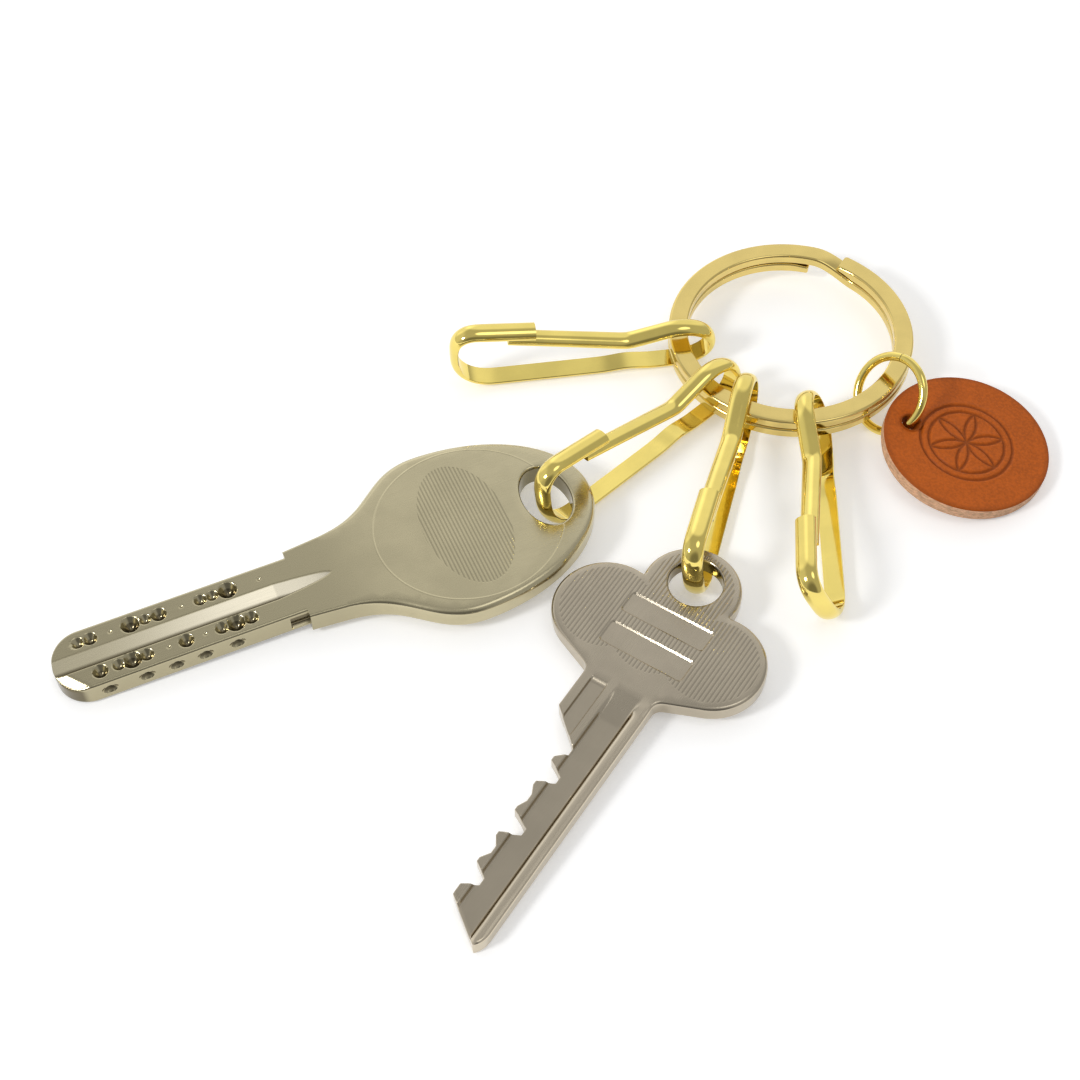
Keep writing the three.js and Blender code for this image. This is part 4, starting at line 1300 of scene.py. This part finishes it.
def dimple_finish(sizes, finish, place):
    """Warm nickel: painted shade on blade and neck, deep in the blade and on the hole's wall, an
    unplated groove painted pale as a highlight, and fine lines in a raised oval on the bow, its
    border with a painted highlight.
    """
    plate = KeyPlate("warm_nickel_plate", finish.warm_nickel, place, sizes.thickness, 0.0)
    x, y, z = plate.x, plate.y, plate.z
    top, half = sizes.thickness / MM, sizes.blade_width / 2 / MM
    hole = (sizes.length - sizes.hole_inset) / MM
    blade_end, groove_end = sizes.blade / MM - hole, sizes.groove / MM - hole
    line, wide = sizes.groove_line / MM, sizes.groove_wide / MM
    deep = sizes.groove_depth / MM
    # Painted shade: the blade and neck are darker than the bow, fading out across the bow.
    plate.shade(ranged(x, blade_end + 2.5, blade_end + 11.0, 0.9, 0.0), 0.8)
    # Painted highlight: the unplated milled groove gets a pale colour, strongest towards the neck and
    # fading towards the tip.
    bare_and_highlight = 0.0
    for sunk, across in ((top - z, y), (z, y * -1.0)):
        milled = ranged(sunk, 0.03, 0.08) * ranged(sunk, deep + 0.02, deep + 0.1, 1.0, 0.0)
        milled *= ranged(across, -line - 0.03, -line + 0.03)
        milled *= ranged(across, wide, wide + 0.05, 1.0, 0.0)
        bare_and_highlight = maths("MAXIMUM", milled, bare_and_highlight)
    bare_and_highlight *= ranged(x, groove_end, groove_end + 0.3, 1.0, 0.0)
    bare_and_highlight *= ranged(x, 3.0 - hole, groove_end - 10.0, 0.25, 1.0)
    plate.tone = mixed(bare_and_highlight, plate.tone, rgba(finish.bare_metal_highlight))
    # Painted shade: the blade is darkened in the bottoms of its pits and groove and on its underside,
    # away from its walls.
    deep_shade = ranged(z, top - 0.7, top - 0.54, 0.9, 0.0)
    deep_shade *= ranged(abs(y), half - 0.4, half - 0.06, 1.0, 0.0)
    deep_shade *= ranged(x, blade_end, blade_end + 2.0, 1.0, 0.0)
    plate.tone = mixed(deep_shade, plate.tone, rgba(DEEP_SHADE))
    # Painted shade on the wall of the key's hole.
    plate.shade_hole_wall(sizes.hole_width / 2, sizes.hole_length / 2)
    middle = (sizes.hole_inset - sizes.panel_inset) / MM
    panel = plate.oval(middle, sizes.panel_width / 2, sizes.panel / 2)
    lines = fine_lines(x, 0.42, 0.45) * ranged(panel, 0.985, 1.0, 1.0, 0.0)
    ring = plate.oval(middle + 0.4, sizes.border / 2, 0.482 * sizes.border)
    clear = sizes.hole_length / 2 + 0.1 * MM
    # The raised border round the panel, which gets a painted highlight.
    border = ranged(abs(ring - 1.0), 0.003, 0.012, 0.8, 0.0)
    plate.engrave(lines, border * ranged(plate.oval(0.0, clear, clear), 1.0, 1.08))
    return plate.material


class KEYCHAIN_OT_dimple_key(bpy.types.Operator):
    """Mills the dimple key: grooved blade with pits, neck and egg-shaped bow."""

    bl_idname = "keychain.dimple_key"
    bl_label = "Dimple Key"

    def execute(self, context):
        settings = context.scene.keychain
        sizes = settings.dimple
        hole, hole_half = sizes.length - sizes.hole_inset, sizes.hole_width / 2
        place = key_place(settings.hook, sizes, DIMPLE_HOOK, hole_half)
        wall_points = 16
        end = sizes.blade + sizes.neck
        half = sizes.neck_width / 2 - sizes.edge - 0.05 * MM
        tip = sizes.tip * (1.0 - np.cos(np.linspace(0.0, QUARTER, 26)))
        blade = np.arange(sizes.tip, sizes.blade, DIMPLE_STEP)
        neck = np.linspace(sizes.blade, end, 34)
        x = np.unique(np.concatenate([tip, blade, neck, [sizes.blade + STEP_RUN]]).round(8))
        above = groove_columns(sizes, x, half, DIMPLE_ABOVE)
        below = -groove_columns(sizes, x, half, DIMPLE_BELOW)[:, ::-1]
        rings = blade_surface(
            x,
            dimple_edges(sizes, x),
            (sizes.edge, sizes.edge),
            sizes.thickness,
            partial(dimple_depth, sizes),
            (above, below),
            wall_points,
            partial(dimple_wall_depth, sizes),
        )
        outline = dimple_outline(sizes)
        swell = smoothstep(outline[:, 0], end, end + BOW_SWELL)
        roundings = sizes.edge + (sizes.bow_edge - sizes.edge) * swell
        bore = oval(hole, hole_half, sizes.hole_length / 2, 120)
        seam = seam_lines(rings, (above, below), wall_points)
        bow = plate_surface(
            outline, roundings, bore, sizes.edge, sizes.thickness, wall_points, seam
        )
        finish = dimple_finish(sizes, settings.finish, place)
        key = key_piece("milled_dimple_key", rings, bow, finish, place, hole, SHARP_MILLED)
        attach(key, "dimple_key")
        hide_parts("dimple_key")
        return {"FINISHED"}


def pin_knots(sizes):
    """Corners of the blade's cut side: slanted tip, cuts and shoulder."""
    half, flat = sizes.blade_width / 2, sizes.cut_flat / 2
    ridge = half - sizes.ridge
    reach = flat + sizes.cut_slope * (sizes.cut_pitch - sizes.cut_flat) / 2
    knots = [[0.0, sizes.tip_point - half], [sizes.tip_rise, ridge]]
    for number, deep in enumerate(PIN_CUTS):
        middle = sizes.cut_start + sizes.cut_pitch * number
        bottom = half - deep * MM
        knots += [[middle - reach, ridge], [middle - flat, bottom]]
        knots += [[middle + flat, bottom], [middle + reach, ridge]]
    return np.array(knots + [[sizes.blade - sizes.shoulder, half], [sizes.blade, half]])


def pin_edges(sizes, knots, x):
    """Lower and upper edge of the cut blade, with a rounded corner at the back of its tip."""
    high = np.interp(x, knots[:, 0], knots[:, 1])
    ahead = np.clip(1.0 - x / sizes.tip_round, 0.0, 1.0)
    low = -sizes.blade_width / 2 + sizes.tip_point * (1.0 - np.sqrt(1.0 - ahead**2))
    return np.minimum(low, high), high


def pin_depth(sizes, x, y, lower):
    """Depth of a face below the level one.

    The lower face has one groove. The upper face has that groove, whose floor rises to the bow, a
    shallow second one beside it, a rounded bead along the back and a small bevel along the slanted
    tip.
    """
    offset = -sizes.groove_offset if lower else sizes.groove_offset
    away = np.abs(y - offset) - sizes.groove / 2
    wall = 1.0 - smoothstep(away, -WALL_EASE, WALL_EASE)
    left = sizes.blade - x
    groove = sizes.groove_depth * wall * np.clip(left / GROOVE_FADE, 0.0, 1.0)
    if lower:
        return groove
    second = np.abs(y - sizes.second_place) - sizes.second / 2
    second = sizes.second_depth * (1.0 - smoothstep(second, -SECOND_EASE, SECOND_EASE))
    second = second * smoothstep(left, 0.0, SECOND_FADE)
    from_back = y + sizes.blade_width / 2
    bead_end = sizes.groove_offset - sizes.groove / 2
    bead_half = (bead_end + sizes.blade_width / 2) / 2
    across = np.clip((y - bead_end + bead_half) / bead_half, -1.0, 1.0)
    bead = sizes.bead_drop * (0.06 + 0.94 * np.abs(across) ** 3.2)
    bead = np.where(y < bead_end, bead, 0.0)
    bead = bead * smoothstep(left - 0.6 * from_back, 0.0, BEAD_FADE)
    slope = math.atan2(sizes.blade_width - sizes.ridge - sizes.tip_point, sizes.tip_rise)
    inside = x * math.sin(slope) - (from_back - sizes.tip_point) * math.cos(slope)
    bevel = BEVEL_SLOPE * np.clip(BEVEL_WIDTH - inside, 0.0, None)
    return np.maximum(np.maximum(groove, second), bead) + bevel


def pin_outline(sizes):
    """The bow's outline: a short line out of the neck and arcs of three circles where they meet."""
    half = sizes.blade_width / 2
    side = np.array([sizes.length - sizes.lobe_back, -sizes.lobe_side])
    end = np.array([sizes.length - sizes.end_lobe, 0.0])
    apart = np.linalg.norm(end - side)
    towards = math.atan2(*(end - side)[::-1])
    bend = math.acos((apart**2 + sizes.lobe**2 - sizes.end_lobe**2) / (2 * apart * sizes.lobe))
    leave = towards - bend + TURN
    meet = side + sizes.lobe * np.array([math.cos(leave), math.sin(leave)])
    arrive = math.atan2(*(meet - end)[::-1])
    lobe = ellipse(*side, sizes.lobe, sizes.lobe, sizes.lobe_start, leave, 110)
    last = ellipse(*end, sizes.end_lobe, sizes.end_lobe, arrive, -arrive, 110)[1:-1]
    flare = [sizes.blade + NECK_RUN, -half - NECK_LEAN]
    neck = even_line([[sizes.blade, -half], flare, lobe[0]], NECK_STEP, NECK_EASING)
    near = np.concatenate([neck[:-1], lobe])
    return np.concatenate([near, last, near[::-1] * [1.0, -1.0]])


def blank_panels(sizes):
    """Two blank sunk panels on the bow, each a rounded rectangle with sloped sides."""
    panels = []
    for back, wide, tall in BLANK_PANELS:
        loop = rounded_rectangle(tall * MM, wide * MM, RIM_CORNER, 7)
        inner = [(side - FLOOR_LESS) * MM for side in (tall, wide)]
        floor = rounded_rectangle(*inner, FLOOR_CORNER, 7)
        centre = [sizes.length - back * MM, 0.0]
        panels.append((loop + centre, floor + centre, -PANEL_DEPTH))
    return panels


def pin_finish(sizes, finish, place):
    """Cool nickel with a painted highlight along the back, painted shade on the hole's wall, and fine
    lines over the bow inside a margin.
    """
    plate = KeyPlate("cool_nickel_plate", finish.cool_nickel, place, sizes.thickness, 0.35)
    bead = (sizes.groove_offset - sizes.groove / 2) / MM
    blade_end = (sizes.blade - sizes.length + sizes.hole_inset) / MM
    # Painted highlight: the bead along the blade's back is paler.
    wear_and_highlight = ranged(plate.y, bead - 0.2, bead, 0.8, 0.0)
    plate.shade(wear_and_highlight * ranged(plate.x, blade_end - 1.0, blade_end + 1.0, 1.0, 0.0), 1.3)
    # Painted shade on the wall of the key's hole.
    plate.shade_hole_wall(sizes.hole / 2, sizes.hole / 2)
    flat = level_place(plate.x, plate.y)
    margin, middle = 0.95, 5.2
    lobe, end_lobe = sizes.lobe / MM - margin, sizes.end_lobe / MM - margin
    back, side = (sizes.hole_inset - sizes.lobe_back) / MM, sizes.lobe_side / MM
    end = (sizes.hole_inset - sizes.end_lobe) / MM
    rounds = [(back, -side, lobe), (back, side, lobe), (end, 0.0, end_lobe), (back, 0.0, middle)]
    inside = 0.0
    for x, y, radius in rounds:
        away = vector_maths("DISTANCE", flat, (x, y, 0.0))
        inside = maths("MAXIMUM", ranged(away, radius, radius + 0.08, 1.0, 0.0), inside)
    plate.engrave(fine_lines(plate.y, 0.48, 0.42) * inside)
    return plate.material


class KEYCHAIN_OT_pin_key(bpy.types.Operator):
    """Mills the pin key: grooved blade with cuts, and a bow of three lobes with blank panels."""

    bl_idname = "keychain.pin_key"
    bl_label = "Pin Key"

    def execute(self, context):
        settings = context.scene.keychain
        sizes = settings.pin
        hole, hole_half = sizes.length - sizes.hole_inset, sizes.hole / 2
        place = key_place(settings.hook, sizes, PIN_HOOK, hole_half)
        wall_points = 8
        half = sizes.blade_width / 2
        edges = (-half + sizes.back_edge + 0.04 * MM, half - sizes.edge - 0.04 * MM)
        walls = sizes.groove_offset + np.array([-0.5, 0.5]) * sizes.groove
        second = sizes.second_place + np.array([-0.5, 0.5]) * sizes.second
        above = blade_columns(*edges, PIN_ABOVE, [*walls, *second])
        below = blade_columns(*edges, PIN_BELOW, -walls)
        knots = pin_knots(sizes)
        tip = sizes.tip_round * (1.0 - np.cos(np.linspace(0.0, QUARTER, 16)))
        blade = np.arange(sizes.tip_round, sizes.blade, PIN_STEP)
        x = np.unique(np.concatenate([tip, blade, knots[:, 0]]).round(8))
        rings = blade_surface(
            x,
            pin_edges(sizes, knots, x),
            (sizes.back_edge, sizes.edge),
            sizes.thickness,
            partial(pin_depth, sizes),
            (above, below),
            wall_points,
        )
        outline = pin_outline(sizes)
        round_bow = np.linspace(0.0, 1.0, len(outline))
        roundings = [sizes.back_edge, sizes.bow_edge, sizes.bow_edge, sizes.edge]
        roundings = np.interp(round_bow, [0, 0.08, 0.92, 1], roundings)
        bore = oval(hole, hole_half, hole_half, 96)
        seam = seam_lines(rings, (above, below), wall_points)
        panels = blank_panels(sizes)
        bow = plate_surface(
            outline, roundings, bore, sizes.hole_edge, sizes.thickness, wall_points, seam, panels
        )
        finish = pin_finish(sizes, settings.finish, place)
        key = key_piece("milled_pin_key", rings, bow, finish, place, hole, SHARP)
        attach(key, "pin_key")
        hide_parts("pin_key")
        return {"FINISHED"}


def floor_finish(colour):
    """Plain pale floor that stays white in the picture and in the metal, and keeps the shadows."""
    material, main, place = new_finish("pale_floor", 0.0, 0.9)
    path = node(place.tree, "ShaderNodeLightPath").outputs
    seen = maths("MAXIMUM", Value(path["Is Camera Ray"]), Value(path["Is Glossy Ray"]))
    seen = maths("MAXIMUM", seen, Value(path["Is Transmission Ray"]))
    feed(main, {
        "Base Color": clouded(noise(place, 3.0, 2.0), colour, 0.995, 1.0),
        "Specular IOR Level": 0.0,
        "Emission Color": WHITE,
        "Emission Strength": seen * FLOOR_GLOW,
    })
    return material


def soft_sky(scene):
    """World light: brighter behind, to the left and overhead, dark low in front."""
    world = bpy.data.worlds.new("soft_sky")
    world.use_nodes = True
    direction = coordinates(world.node_tree, "Generated")
    level = SKY_LEVEL
    for towards, low, high, amount in SKY_PATCHES:
        near = vector_maths("DOT_PRODUCT", direction, towards)
        level = ranged(near, low, high, 0.0, amount) + level
    feed(world.node_tree.nodes["Background"], {"Strength": level, "Color": WHITE})
    scene.world = world


def window_light(aim):
    """A square soft lamp that looks at a point."""
    light = bpy.data.lights.new("window_light", "AREA")
    light.size, light.energy = LAMP_SIZE, LAMP_POWER
    lamp = placed("window_light", light)
    lamp.location = LAMP_PLACE
    x, y, z = aim - LAMP_PLACE
    lamp.rotation_euler = (math.atan2(math.hypot(x, y), -z), 0.0, math.atan2(-x, y))


class KEYCHAIN_OT_stage(bpy.types.Operator):
    """Sets up the floor, the soft light and the camera."""

    bl_idname = "keychain.stage"
    bl_label = "Stage"

    def execute(self, context):
        scene = context.scene
        x, y = np.meshgrid(*[np.linspace(-FLOOR_HALF, FLOOR_HALF, 3)] * 2)
        points = np.stack([x, y, np.full_like(x, -FLOOR_DROP)], -1).reshape(-1, 3)
        mesh = bpy.data.meshes.new("floor")
        mesh.from_pydata(points.tolist(), [], grid_faces(3, 3))
        mesh.materials.append(floor_finish(scene.keychain.finish.floor))
        floor = placed("floor", mesh)
        soft_sky(scene)
        aim = middle_of("split_ring") + AIM_FROM_RING
        aim[2] = 0.0
        window_light(aim)
        lens = bpy.data.cameras.new("camera")
        lens.sensor_width, lens.lens, lens.clip_start = SENSOR, SENSOR * FOCUS, 0.01
        camera = placed("camera", lens)
        back = np.array([0.0, -math.cos(CAMERA_DOWN), math.sin(CAMERA_DOWN)])
        camera.location = aim + CAMERA_AWAY * back
        camera.rotation_euler = (QUARTER - CAMERA_DOWN, 0.0, 0.0)
        scene.camera = camera
        scene.view_settings.view_transform = "Standard"
        return {"FINISHED"}


class KEYCHAIN_PT_panel(bpy.types.Panel):
    """Lists the keychain's operators in the sidebar."""

    bl_idname = "KEYCHAIN_PT_panel"
    bl_label = "Keychain"
    bl_space_type = "VIEW_3D"
    bl_region_type = "UI"
    bl_category = "Keychain"

    def draw(self, context):
        column = self.layout.column()
        for operator in OPERATORS:
            column.operator(operator.bl_idname)


SIZES = (
    SplitRingSizes,
    SpringHookSizes,
    JumpRingSizes,
    LeatherTagSizes,
    DimpleKeySizes,
    PinKeySizes,
    Finishes,
    KeychainSettings,
)
OPERATORS = (
    KEYCHAIN_OT_stage,
    KEYCHAIN_OT_split_ring,
    KEYCHAIN_OT_spring_hooks,
    KEYCHAIN_OT_jump_ring,
    KEYCHAIN_OT_leather_tag,
    KEYCHAIN_OT_dimple_key,
    KEYCHAIN_OT_pin_key,
)
CLASSES = SIZES + OPERATORS + (KEYCHAIN_PT_panel,)


def register():
    """Registers the classes and hangs the settings on the scene."""
    for each in CLASSES:
        bpy.utils.register_class(each)
    bpy.types.Scene.keychain = bpy.props.PointerProperty(type=KeychainSettings)


def unregister():
    """Takes the settings and the classes away again."""
    del bpy.types.Scene.keychain
    for each in reversed(CLASSES):
        bpy.utils.unregister_class(each)


def main():
    """Makes every piece."""
    register()
    bpy.ops.keychain.stage()
    bpy.ops.keychain.split_ring()
    bpy.ops.keychain.spring_hooks()
    bpy.ops.keychain.jump_ring()
    bpy.ops.keychain.leather_tag()
    bpy.ops.keychain.dimple_key()
    bpy.ops.keychain.pin_key()
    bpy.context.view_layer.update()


if __name__ == "__main__":
    main()
